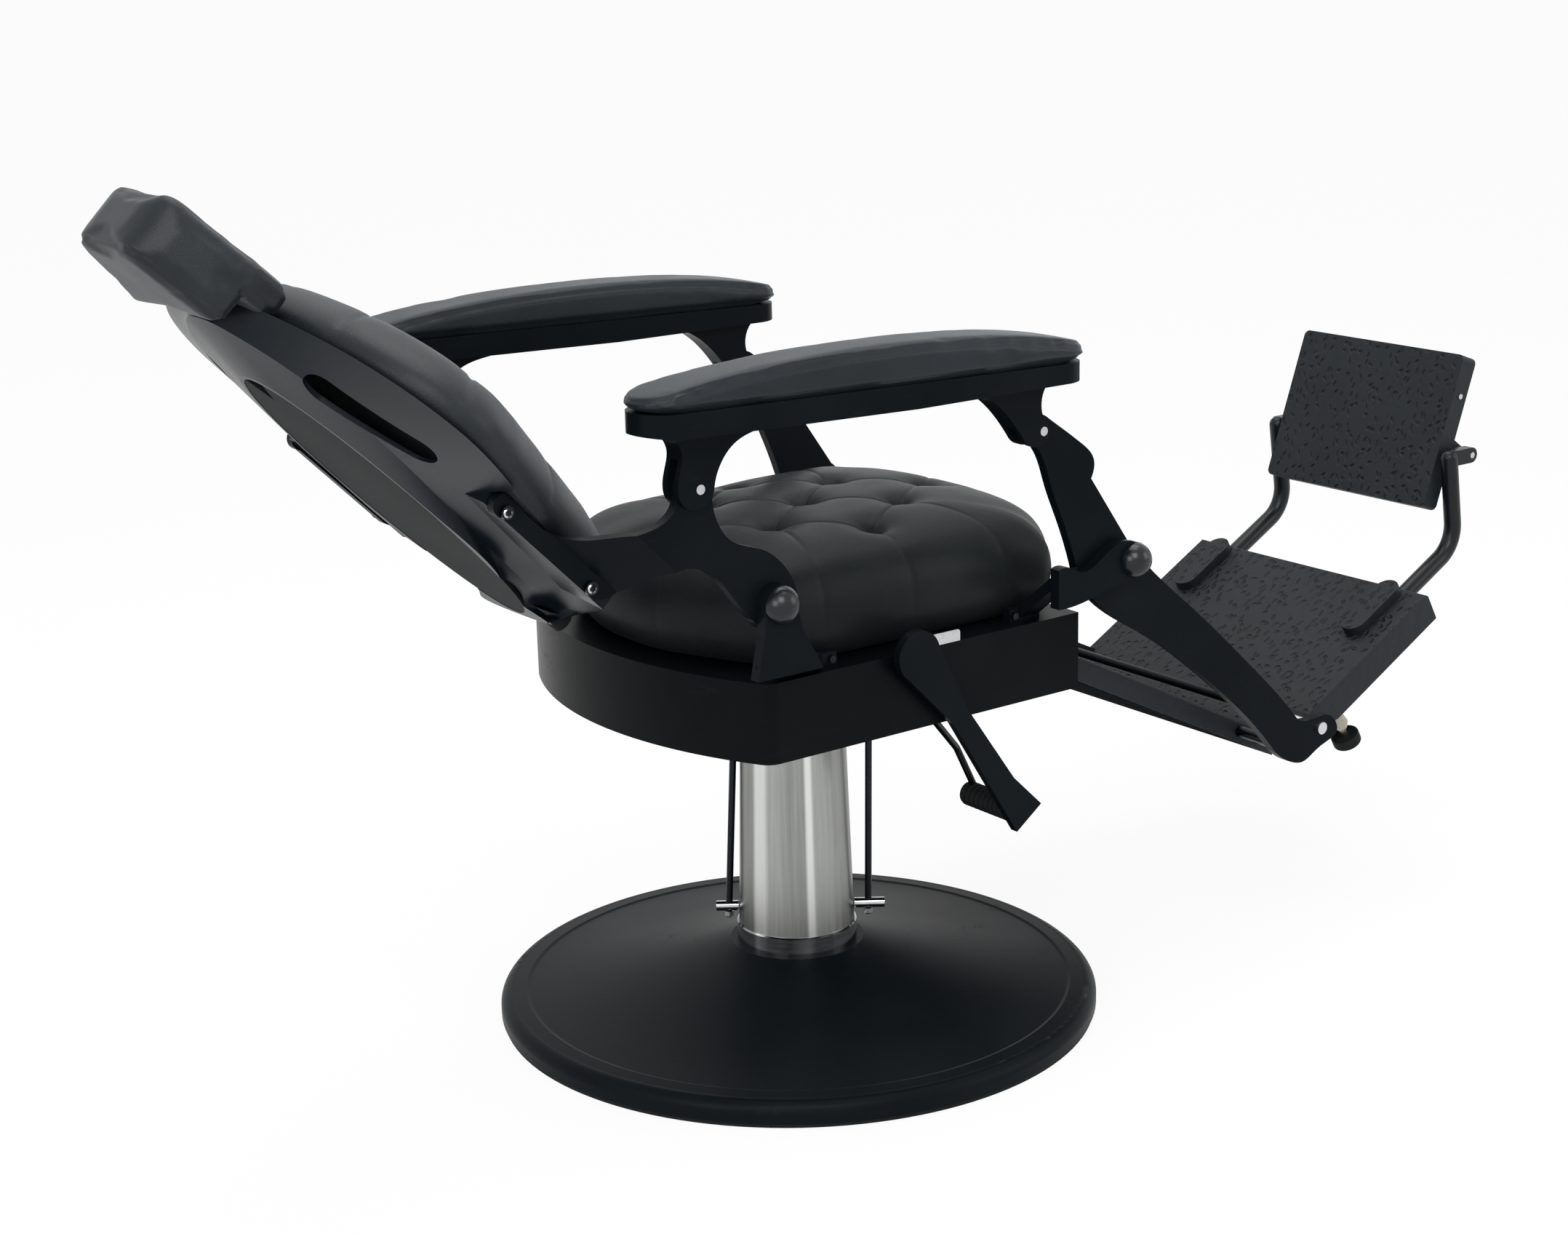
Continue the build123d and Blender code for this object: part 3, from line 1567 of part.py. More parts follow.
with BuildPart() as foot_plate:
    with BuildSketch(foot_frame.offset(-foot_drop)):
        with Locations((0, -foot_length / 2)):
            Rectangle(2 * foot_half_width, foot_length)
    extrude(amount=-foot_depth)
    fillet(
        foot_plate.faces().sort_by(Axis(foot_frame.origin, foot_frame.z_dir))[-1].edges(),
        foot_edge_round,
    )
    with BuildSketch(foot_frame.offset(-foot_drop - foot_wall)):
        with Locations((0, -foot_length / 2)):
            Rectangle(2 * (foot_half_width - foot_wall), foot_length - 2 * foot_wall)
    extrude(amount=-foot_depth, mode=Mode.SUBTRACT)
    with BuildSketch(Plane.YZ):
        with BuildLine():
            Polyline(
                on_foot(-1, -foot_drop - foot_shallow_depth),
                on_foot(foot_taper_end, -foot_drop - foot_depth),
                on_foot(foot_taper_end, -foot_drop - foot_depth - 20),
                on_foot(-1, -foot_drop - foot_depth - 20),
                close=True,
            )
        make_face()
    extrude(amount=2 * foot_half_width, both=True, mode=Mode.SUBTRACT)
    for side in SIDES.values():
        with BuildSketch(foot_frame.offset(-foot_drop - 1)):
            with Locations(Location((side * tube_middle, -socket_middle, 0), (0, 0, 90))):
                SlotOverall(socket_length, socket_width)
        extrude(amount=socket_height + 1)
        with BuildSketch(foot_frame.offset(-foot_drop - foot_wall / 2)):
            with Locations((side * tube_middle, -socket_middle)):
                Rectangle(2 * tube_radius + 8, socket_length - 10)
        extrude(amount=-tube_sink - tube_radius + foot_wall / 2 - 3)
        with BuildSketch(foot_frame.offset(-foot_drop - foot_wall / 2)):
            with Locations((side * levelling_out, -levelling_along)):
                Circle(stem_boss_radius)
        extrude(amount=-stem_boss_length)
        with BuildSketch(side_plane(side, foot_half_width - foot_wall - knuckle_thickness)):
            with BuildLine():
                Polyline(
                    on_foot(-knuckle_radius + 1, 4),
                    on_foot(3, -foot_drop - 6),
                    on_foot(48, -foot_drop - 2),
                    on_foot(knuckle_radius - 1, 4),
                    close=True,
                )
            make_face()
            with Locations(footrest_pin):
                Circle(knuckle_radius)
        extrude(amount=side * knuckle_thickness)
        with BuildSketch(side_plane(side, tube_middle)):
            with Locations(footrest_pin):
                Circle(footrest_axle_radius + running_clearance)
        extrude(amount=side * foot_half_width, mode=Mode.SUBTRACT)
        tube_plane = Plane(
            origin=(side * tube_middle, *on_foot(tube_root, tube_line)),
            z_dir=-foot_frame.y_dir,
        )
        with BuildSketch(tube_plane):
            Circle(tube_radius)
        extrude(amount=foot_length - tube_root + 10, mode=Mode.SUBTRACT)
        with BuildSketch(foot_frame.offset(-foot_drop - foot_wall)):
            with Locations((side * levelling_out, -levelling_along)):
                Circle(stem_radius)
        extrude(amount=-stem_boss_length, mode=Mode.SUBTRACT)
save(foot_plate, "foot_plate")

tube_head = beside(step_pin, tube_head_back, 0)

with BuildPart() as foot_tubes:
    for side in SIDES.values():
        out = side * tube_middle
        with BuildLine() as tube_path:
            FilletPolyline(
                (out, *on_foot(tube_root, tube_line)),
                (out, *on_foot(tube_corner, tube_line)),
                (out, *tube_head),
                radius=tube_bend,
            )
        with BuildSketch(Plane(origin=tube_path.line @ 0, z_dir=tube_path.line % 0)):
            Circle(tube_radius)
        sweep(path=tube_path.line)
        with Locations((out, *tube_head)):
            Sphere(tube_radius)
        with BuildSketch(side_plane(side, tube_middle - tube_lug_thickness / 2)):
            with Locations(step_pin):
                Circle(tube_lug_radius)
            with Locations(beside(step_pin, tube_head_back / 2, 0)):
                Rectangle(tube_head_back, 2 * tube_lug_radius)
        extrude(amount=side * tube_lug_thickness)
        with BuildSketch(side_plane(side, tube_middle - tube_lug_thickness)):
            with Locations(step_pin):
                Circle(step_pin_radius + running_clearance)
        extrude(amount=side * 2 * tube_lug_thickness, mode=Mode.SUBTRACT)
save(foot_tubes, "foot_tubes")

stem_places = [(side * levelling_out, -levelling_along) for side in SIDES.values()]

with BuildPart() as levelling_feet:
    with BuildSketch(foot_frame.offset(-foot_drop - foot_wall)):
        with Locations(*stem_places):
            Circle(stem_radius)
    extrude(amount=foot_wall - levelling_reach)
    with BuildSketch(foot_frame.offset(-foot_drop - stem_collar_foot)):
        with Locations(*stem_places):
            Circle(stem_radius + 2)
    extrude(amount=-stem_collar_height, taper=-12)
    with BuildSketch(foot_frame.offset(-foot_drop - stem_collar_foot - stem_collar_height)):
        with Locations(*stem_places):
            RegularPolygon(stem_nut_radius, 6)
    extrude(amount=-stem_nut_height)
save(levelling_feet, "levelling_feet")

with BuildPart() as levelling_pads:
    with BuildSketch(foot_frame.offset(-foot_drop - levelling_reach)):
        with Locations(*stem_places):
            Circle(levelling_pad_radius)
    extrude(amount=-levelling_pad_height)
    fillet(levelling_pads.edges().filter_by(GeomType.CIRCLE), 2)
save(levelling_pads, "levelling_pads")

# ---------------------------------------------------------------- flip plate
step_rear = -step_pin_out
step_front = step_rear + step_thickness
step_lug_outer = tube_middle - tube_lug_thickness / 2 - 7
step_lug_inner = step_lug_outer - step_lug_thickness

with BuildPart() as step_plate:
    with BuildSketch(step_frame.offset(step_rear)):
        with Locations((0, step_height / 2 - step_pin_up)):
            RectangleRounded(2 * step_half_width, step_height, 8)
    extrude(amount=step_thickness)
    for side in SIDES.values():
        with BuildSketch(side_plane(side, step_lug_inner)):
            with BuildLine():
                Polyline(
                    on_step(-step_lug_radius, 0),
                    on_step(step_lug_radius, 0),
                    on_step(step_lug_radius + 5, step_front - 1),
                    on_step(-step_lug_radius - 5, step_front - 1),
                    close=True,
                )
            make_face()
            with Locations(step_pin):
                Circle(step_lug_radius)
        extrude(amount=side * step_lug_thickness)
        with BuildSketch(side_plane(side, step_lug_inner)):
            with Locations(step_pin):
                Circle(step_pin_radius)
        extrude(amount=side * step_lug_thickness, mode=Mode.SUBTRACT)
        with BuildSketch(side_plane(side, step_half_width)):
            with Locations(on_step(side_pin_up - step_pin_up, step_rear + step_thickness / 2)):
                Circle(side_pin_radius)
        extrude(amount=-side * 8, mode=Mode.SUBTRACT)
save(step_plate, "step_plate")

with BuildPart() as step_pins:
    for side in SIDES.values():
        with BuildSketch(side_plane(side, step_lug_inner)):
            with Locations(step_pin):
                Circle(step_pin_radius)
        extrude(amount=side * (tube_middle + tube_lug_thickness / 2 + 1 - step_lug_inner))
        with BuildSketch(side_plane(side, step_half_width - 8)):
            with Locations(on_step(side_pin_up - step_pin_up, step_rear + step_thickness / 2)):
                Circle(side_pin_radius)
        extrude(amount=side * (8 + side_pin_reach))
save(step_pins, "step_pins")
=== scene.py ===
"""Reclining barber chair: finishes, upholstery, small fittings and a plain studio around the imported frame."""

import logging
import math
from dataclasses import dataclass
from enum import Enum
from typing import Callable, Sequence

import bmesh
import bpy
import numpy as np
from bpy.types import ID, Material, Mesh, Node, NodeSocket, NodeTree, Object
from mathutils import Matrix, Vector
from mathutils.kdtree import KDTree


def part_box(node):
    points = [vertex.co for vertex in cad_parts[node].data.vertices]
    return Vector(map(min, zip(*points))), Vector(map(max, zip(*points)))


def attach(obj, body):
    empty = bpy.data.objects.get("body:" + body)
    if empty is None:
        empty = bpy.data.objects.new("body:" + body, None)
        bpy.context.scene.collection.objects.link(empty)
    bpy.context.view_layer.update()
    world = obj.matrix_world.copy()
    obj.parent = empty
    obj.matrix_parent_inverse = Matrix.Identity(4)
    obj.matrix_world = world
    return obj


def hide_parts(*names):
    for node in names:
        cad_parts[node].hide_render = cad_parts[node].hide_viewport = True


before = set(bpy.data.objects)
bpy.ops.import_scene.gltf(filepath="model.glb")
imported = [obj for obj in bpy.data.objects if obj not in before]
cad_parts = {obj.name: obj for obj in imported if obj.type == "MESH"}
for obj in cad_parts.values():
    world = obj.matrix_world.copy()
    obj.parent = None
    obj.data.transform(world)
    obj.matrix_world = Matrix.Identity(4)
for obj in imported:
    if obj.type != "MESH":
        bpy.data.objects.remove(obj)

LOG = logging.getLogger("barber_chair")
WHITE = (1.0, 1.0, 1.0, 1.0)
TINY = 1e-6
Point = tuple[float, float, float]
Pair = tuple[float, float]
Pleat = tuple[Pair, Pair, float]


# ------------------------------------------------------------------ node trees
class Channel:
    """A number socket of a node tree that takes part in arithmetic."""

    def __init__(self, graph: "Graph", socket: NodeSocket) -> None:
        """Keeps the socket and the node tree that it belongs to."""
        self.graph = graph
        self.socket = socket

    def apply(self, operation: str, *others: "Channel | float") -> "Channel":
        """Result of a Math node on this value and the others, in order."""
        return self.graph.math(operation, self, *others)

    def __add__(self, other: "Channel | float") -> "Channel":
        """Sum of two values."""
        return self.apply("ADD", other)

    def __mul__(self, other: "Channel | float") -> "Channel":
        """Product of two values."""
        return self.apply("MULTIPLY", other)

    def __sub__(self, other: "Channel | float") -> "Channel":
        """Difference of two values."""
        return self.apply("SUBTRACT", other)

    def __truediv__(self, other: "Channel | float") -> "Channel":
        """Quotient of two values."""
        return self.apply("DIVIDE", other)

    def __rsub__(self, other: float) -> "Channel":
        """Number minus this value."""
        return self.graph.math("SUBTRACT", other, self)

    def __abs__(self) -> "Channel":
        """This value without its sign."""
        return self.apply("ABSOLUTE")

    __radd__ = __add__
    __rmul__ = __mul__

    def clamp(self) -> "Channel":
        """This value kept between 0 and 1."""
        return self.apply("MAXIMUM", 0.0).apply("MINIMUM", 1.0)

    def above(self, least: float, slope: float) -> "Channel":
        """Rise from 0 to 1 once this value passes the least one."""
        return ((self - least) * slope).clamp()


class Graph:
    """Adds nodes to one node tree."""

    def __init__(self, tree: NodeTree) -> None:
        """Empties the tree and keeps it."""
        self.tree = tree
        tree.nodes.clear()

    def node(self, kind: str, inputs: dict | None = None, **settings: object) -> Node:
        """Adds a node.

        Args:
            kind: the node's type.
            inputs: values or links of its sockets, by name or number.
            settings: its attributes; "stops" are a colour ramp's places and colours.

        Returns:
            The node.
        """
        made = self.tree.nodes.new(kind)
        for key, value in settings.items():
            if key == "stops":
                elements = made.color_ramp.elements
                while len(elements) < len(value):
                    elements.new(0.5)
                for element, (place, colour) in zip(elements, value):
                    element.position = place
                    element.color = (*colour, 1.0)
            else:
                setattr(made, key, value)
        for key, value in (inputs or {}).items():
            source = value.socket if isinstance(value, Channel) else value
            if isinstance(source, NodeSocket):
                self.tree.links.new(source, made.inputs[key])
            else:
                made.inputs[key].default_value = source
        return made

    def math(self, operation: str, *values: Channel | float) -> Channel:
        """Adds a Math node on the given values and returns its result."""
        made = self.node("ShaderNodeMath", dict(enumerate(values)), operation=operation)
        return Channel(self, made.outputs[0])

    def axes(self, vector: NodeSocket) -> list[Channel]:
        """The three numbers of a vector or a colour."""
        made = self.node("ShaderNodeSeparateXYZ", {0: vector})
        return [Channel(self, output) for output in made.outputs]

    def direct_rays(self) -> Channel:
        """1 for rays that end in the picture, seen, mirrored or through glass, and 0 for those that only light."""
        paths = self.node("ShaderNodeLightPath")
        seen, mirrored, through = (
            Channel(self, paths.outputs[f"Is {kind} Ray"]) for kind in ("Camera", "Glossy", "Transmission")
        )
        return seen.apply("MAXIMUM", mirrored).apply("MAXIMUM", through)


class Shader(Graph):
    """Builds one node material."""

    def __init__(self, name: str) -> None:
        """Starts an empty material."""
        self.material = bpy.data.materials.new(name)
        self.material.use_nodes = True
        super().__init__(self.material.node_tree)

    def place(self, scale: Point = (1.0, 1.0, 1.0), turn: Point = (0.0, 0.0, 0.0)) -> NodeSocket:
        """Object coordinates, turned and scaled.

        Args:
            scale: scale of the pattern along each axis.
            turn: turn of the pattern about each axis, in radians.

        Returns:
            The vector socket.
        """
        source = self.node("ShaderNodeTexCoord").outputs["Object"]
        inputs = {"Vector": source, "Rotation": turn, "Scale": scale}
        return self.node("ShaderNodeMapping", inputs, vector_type="POINT").outputs["Vector"]

    def noise(self, where: NodeSocket, scale: float, detail: float = 3.0, rough: float = 0.55) -> Channel:
        """Adds a noise pattern and returns its value, which stays near 0.5."""
        inputs = {"Vector": where, "Scale": scale, "Detail": detail, "Roughness": rough}
        return Channel(self, self.node("ShaderNodeTexNoise", inputs, noise_dimensions="3D").outputs[0])

    def blend(self, share: Channel, first: Point, second: Point) -> NodeSocket:
        """Colour that goes from the first at share 0 to the second at share 1."""
        inputs = {0: share, 6: (*first, 1.0), 7: (*second, 1.0)}
        return self.node("ShaderNodeMix", inputs, data_type="RGBA").outputs[2]

    def bump(self, height: Channel, distance: float, strength: float = 1.0) -> NodeSocket:
        """Adds relief of the given depth in metres and returns the normal."""
        inputs = {"Strength": strength, "Distance": distance, "Height": height}
        return self.node("ShaderNodeBump", inputs).outputs["Normal"]

    def surface(self, **inputs: object) -> Material:
        """Ends the material.

        Args:
            inputs: the main shader's sockets, with _ for a space.

        Returns:
            The finished material.
        """
        named = {key.replace("_", " "): value for key, value in inputs.items()}
        main = self.node("ShaderNodeBsdfPrincipled", named)
        self.node("ShaderNodeOutputMaterial", {"Surface": main.outputs["BSDF"]})
        return self.material


# ------------------------------------------------------------------ finishes
@dataclass(frozen=True)
class Leather:
    """Black upholstery leather with a fine grain and soft creases."""

    name: str
    dark: Point = (0.0042, 0.0062, 0.0082)
    light: Point = (0.0130, 0.0165, 0.0195)
    roughness: float = 0.42
    specular: float = 0.20
    sheen: float = 0.05
    sheen_tint: Point = (0.72, 0.86, 1.0)
    grain: float = 620.0
    grain_depth: float = 0.00022
    crease_scale: float = 34.0
    crease_share: float = 0.6
    patch_scale: float = 5.0
    rub_scale: float = 16.0

    def build(self) -> Material:
        """Makes the material.

        Returns:
            The material.
        """
        shader = Shader(self.name)
        where = shader.place()
        cell = shader.node("ShaderNodeTexVoronoi", {"Vector": where, "Scale": self.grain}, feature="SMOOTH_F1")
        pebble = Channel(shader, cell.outputs["Distance"])
        pore = shader.noise(where, 2.6 * self.grain, 2.0)
        fold = 1.0 - abs(shader.noise(where, self.crease_scale, 5.0, 0.62) * 2.0 - 1.0)
        patch = shader.noise(where, self.patch_scale, 3.0)
        rub = shader.noise(where, self.rub_scale, 4.0)
        height = pebble * 0.7 + pore * 0.25 + fold * self.crease_share
        shade = ((patch * 0.75 + rub * 0.5 + pebble * 0.2 - 0.35) * 1.25).clamp()
        return shader.surface(
            Base_Color=shader.blend(shade, self.dark, self.light),
            Roughness=(self.roughness - 0.09 + rub * 0.18 + pebble * 0.05).clamp(),
            Normal=shader.bump(height, self.grain_depth, 0.9),
            Specular_IOR_Level=self.specular,
            Sheen_Weight=self.sheen,
            Sheen_Roughness=0.40,
            Sheen_Tint=(*self.sheen_tint, 1.0),
        )


@dataclass(frozen=True)
class Enamel:
    """Baked black paint over metal, with slight orange peel, dust and rubbed places."""

    name: str
    dark: Point = (0.0016, 0.0030, 0.0042)
    light: Point = (0.0075, 0.0100, 0.0125)
    roughness: float = 0.34
    peel: float = 260.0
    peel_depth: float = 0.00012
    specular: float = 0.15
    coat: float = 0.0
    coat_roughness: float = 0.16
    cloud_scale: float = 7.0
    scuff_stretch: Point = (9.0, 9.0, 46.0)
    scuff_turn: Point = (0.5, 0.3, 0.2)

    def build(self) -> Material:
        """Makes the material.

        Returns:
            The material.
        """
        shader = Shader(self.name)
        where = shader.place()
        peel = shader.noise(where, self.peel, 2.0)
        fine = shader.noise(where, 5.0 * self.peel, 2.0)
        cloud = shader.noise(where, self.cloud_scale, 4.0)
        mark = shader.noise(shader.place(self.scuff_stretch, self.scuff_turn), 1.4, 6.0, 0.7).above(0.62, 7.0)
        shade = (cloud * 0.9 + mark * 0.5 + fine * 0.2 - 0.35).clamp()
        return shader.surface(
            Base_Color=shader.blend(shade, self.dark, self.light),
            Roughness=(self.roughness - 0.08 + cloud * 0.14 + mark * 0.14).clamp(),
            Normal=shader.bump(peel + fine * 0.25, self.peel_depth, 0.8),
            Specular_IOR_Level=self.specular,
            Coat_Weight=self.coat,
            Coat_Roughness=self.coat_roughness,
        )


@dataclass(frozen=True)
class Hammered:
    """Black cast tread with short dents that lie in all directions, in the plate's own plane."""

    name: str
    pitch: float
    dents: float = 92.0
    depth: float = 0.0020
    dent_length: float = 0.48
    dent_width: float = 0.24
    fineness: tuple[Pair, ...] = ((900.0, 3.0), (70.0, 3.0), (9.0, 4.0))
    dark: Point = (0.0020, 0.0032, 0.0045)
    light: Point = (0.0150, 0.0190, 0.0225)
    specular: float = 0.20

    def build(self) -> Material:
        """Makes the material, whose dents lie in a plane pitched about the X axis.

        Returns:
            The material.
        """
        shader = Shader(self.name)
        where = shader.place()
        across, back, rise = shader.axes(where)
        run = back * math.cos(self.pitch) + rise * math.sin(self.pitch)
        plan = shader.node("ShaderNodeCombineXYZ", {0: across * self.dents, 1: run * (0.8 * self.dents)})
        inputs = {"Vector": plan.outputs[0], "Scale": 1.0, "Randomness": 1.0}
        cell = shader.node("ShaderNodeTexVoronoi", inputs, voronoi_dimensions="2D")
        spot, middle = shader.axes(plan.outputs[0]), shader.axes(cell.outputs["Position"])
        off_x, off_y = spot[0] - middle[0], spot[1] - middle[1]
        angle, chance, _ = shader.axes(cell.outputs["Color"])
        sine, cosine = ((angle * math.tau).apply(name) for name in ("SINE", "COSINE"))
        along = (off_x * cosine + off_y * sine) / self.dent_length
        over = (off_y * cosine - off_x * sine) / self.dent_width
        facing = shader.node("ShaderNodeTexCoord").outputs["Normal"]
        upright = (0.0, -math.sin(self.pitch), math.cos(self.pitch))
        square = shader.node("ShaderNodeVectorMath", {0: facing, 1: upright}, operation="DOT_PRODUCT")
        live = (chance * 4.0 - 0.5).clamp() * abs(Channel(shader, square.outputs["Value"])).above(0.85, 12.0)
        dent = (1.0 - (along * along + over * over)).clamp() * live
        grit, swelling, cloud = (shader.noise(where, *fineness) for fineness in self.fineness)
        return shader.surface(
            # the dents are also painted darker in the colour: painted shade in the dents
            Base_Color=shader.blend((cloud * 0.9 + grit * 0.3 + 0.02 - dent * 0.75).clamp(), self.dark, self.light),
            Roughness=(0.40 + cloud * 0.14 + grit * 0.1).clamp(),
            Normal=shader.bump(1.0 - dent + grit * 0.08 + swelling * 0.5, self.depth),
            Specular_IOR_Level=self.specular,
        )


@dataclass(frozen=True)
class Steel:
    """Bare or plated metal with polishing marks that run along the axes given, and optionally painted reflections:
    bands that go round the upright axis.
    """

    name: str
    colour: Point = (0.66, 0.66, 0.65)
    # second colour of the blend: a darker streak tone; where reflection bands are painted, the bright colour of those
    # painted reflections
    shadow: Point = (0.48, 0.48, 0.48)
    roughness: float = 0.18
    stretch: Point = (160.0, 160.0, 160.0)
    depth: float = 0.00003
    spread: float = 0.18
    # painted reflection bands: place on the turn about the upright axis and level, from dark to bright
    painted_reflection_runs: tuple[Pair, ...] = ()

    def around(self, shader: Shader) -> Channel:
        """Painted reflection: darker and lighter bands by the turn about the upright axis, standing in for the
        surroundings mirrored in the metal.
        """
        x, y, _ = shader.axes(shader.place())
        stops = [(place, (level, level, level)) for place, level in self.painted_reflection_runs]
        share = shader.math("ARCTAN2", y, x) / math.tau + 0.5
        return Channel(shader, shader.node("ShaderNodeValToRGB", {"Fac": share}, stops=stops).outputs["Color"])

    def build(self) -> Material:
        """Makes the material.

        Returns:
            The material.
        """
        shader = Shader(self.name)
        streak = shader.noise(shader.place(self.stretch), 1.0, 4.0, 0.65)
        hair = shader.noise(shader.place(tuple(4.5 * value for value in self.stretch)), 1.0, 2.0)
        cloud = shader.noise(shader.place(), 11.0, 3.0)
        shade = (streak * 0.9 + cloud * 0.35 - 0.25) * 1.15
        if self.painted_reflection_runs:
            # painted reflection bands round the upright axis, with the brushing streaks over them
            shade = self.around(shader) + streak * 0.34 + cloud * 0.10 - 0.22
        return shader.surface(
            Base_Color=shader.blend(shade.clamp(), self.colour, self.shadow),
            Metallic=1.0,
            Roughness=(self.roughness - 0.5 * self.spread + streak * self.spread + cloud * 0.06).clamp(),
            Normal=shader.bump(streak * 0.6 + hair * 0.4, self.depth, 0.6),
        )


@dataclass(frozen=True)
class AxleSteel:
    """Dark axle whose two ends stay bright."""

    name: str
    dark: Point = (0.0100, 0.0115, 0.0140)
    bright: Point = (0.66, 0.67, 0.68)
    dark_half: float = 0.206
    edge: float = 900.0
    mark_scale: float = 300.0

    def build(self) -> Material:
        """Makes the material.

        Returns:
            The material.
        """
        shader = Shader(self.name)
        end = abs(shader.axes(shader.place())[0]).above(self.dark_half, self.edge)
        mark = shader.noise(shader.place((self.mark_scale,) * 3), 1.0, 3.0)
        return shader.surface(
            Base_Color=shader.blend((end - mark * 0.12 * end).clamp(), self.dark, self.bright),
            Metallic=1.0,
            Roughness=(0.36 - end * 0.16 + mark * 0.10).clamp(),
            Normal=shader.bump(mark, 0.00003, 0.5),
        )


@dataclass(frozen=True)
class Rubber:
    """Dull black rubber with a powdery bloom."""

    name: str
    dark: Point = (0.0030, 0.0036, 0.0042)
    light: Point = (0.0120, 0.0130, 0.0140)
    roughness: float = 0.66
    specular: float = 0.14
    skin_scale: float = 1400.0
    bloom_scale: float = 22.0

    def build(self) -> Material:
        """Makes the material.

        Returns:
            The material.
        """
        shader = Shader(self.name)
        where = shader.place()
        bloom = shader.noise(where, self.bloom_scale, 5.0)
        return shader.surface(
            Base_Color=shader.blend((bloom * 1.3 - 0.3).clamp(), self.dark, self.light),
            Roughness=(self.roughness - 0.08 + bloom * 0.16).clamp(),
            Normal=shader.bump(shader.noise(where, self.skin_scale, 3.0), 0.00008, 0.7),
            Specular_IOR_Level=self.specular,
        )


@dataclass(frozen=True)
class Ground:
    """Pale studio floor that stays near white to the camera and keeps the chair's shadow."""

    name: str = "studio_floor"
    colour: Point = (0.86, 0.86, 0.86)
    lift: float = 0.90

    def build(self) -> Material:
        """Makes the material.

        Returns:
            The material.
        """
        shader = Shader(self.name)
        grain = shader.noise(shader.place(), 3.0, 2.0)
        tint = shader.blend(grain, self.colour, tuple(0.98 * value for value in self.colour))
        cloth = shader.node("ShaderNodeBsdfDiffuse", {"Color": tint})
        white = shader.node("ShaderNodeEmission", {"Color": WHITE, "Strength": 1.0})
        share = shader.direct_rays() * self.lift
        mixed = shader.node("ShaderNodeMixShader", {0: share, 1: cloth.outputs[0], 2: white.outputs[0]})
        shader.node("ShaderNodeOutputMaterial", {"Surface": mixed.outputs[0]})
        return shader.material


FOOT_PITCH = math.radians(-27.0)
CALF_PITCH = math.radians(28.5)
STEP_PITCH = math.radians(-72.0)


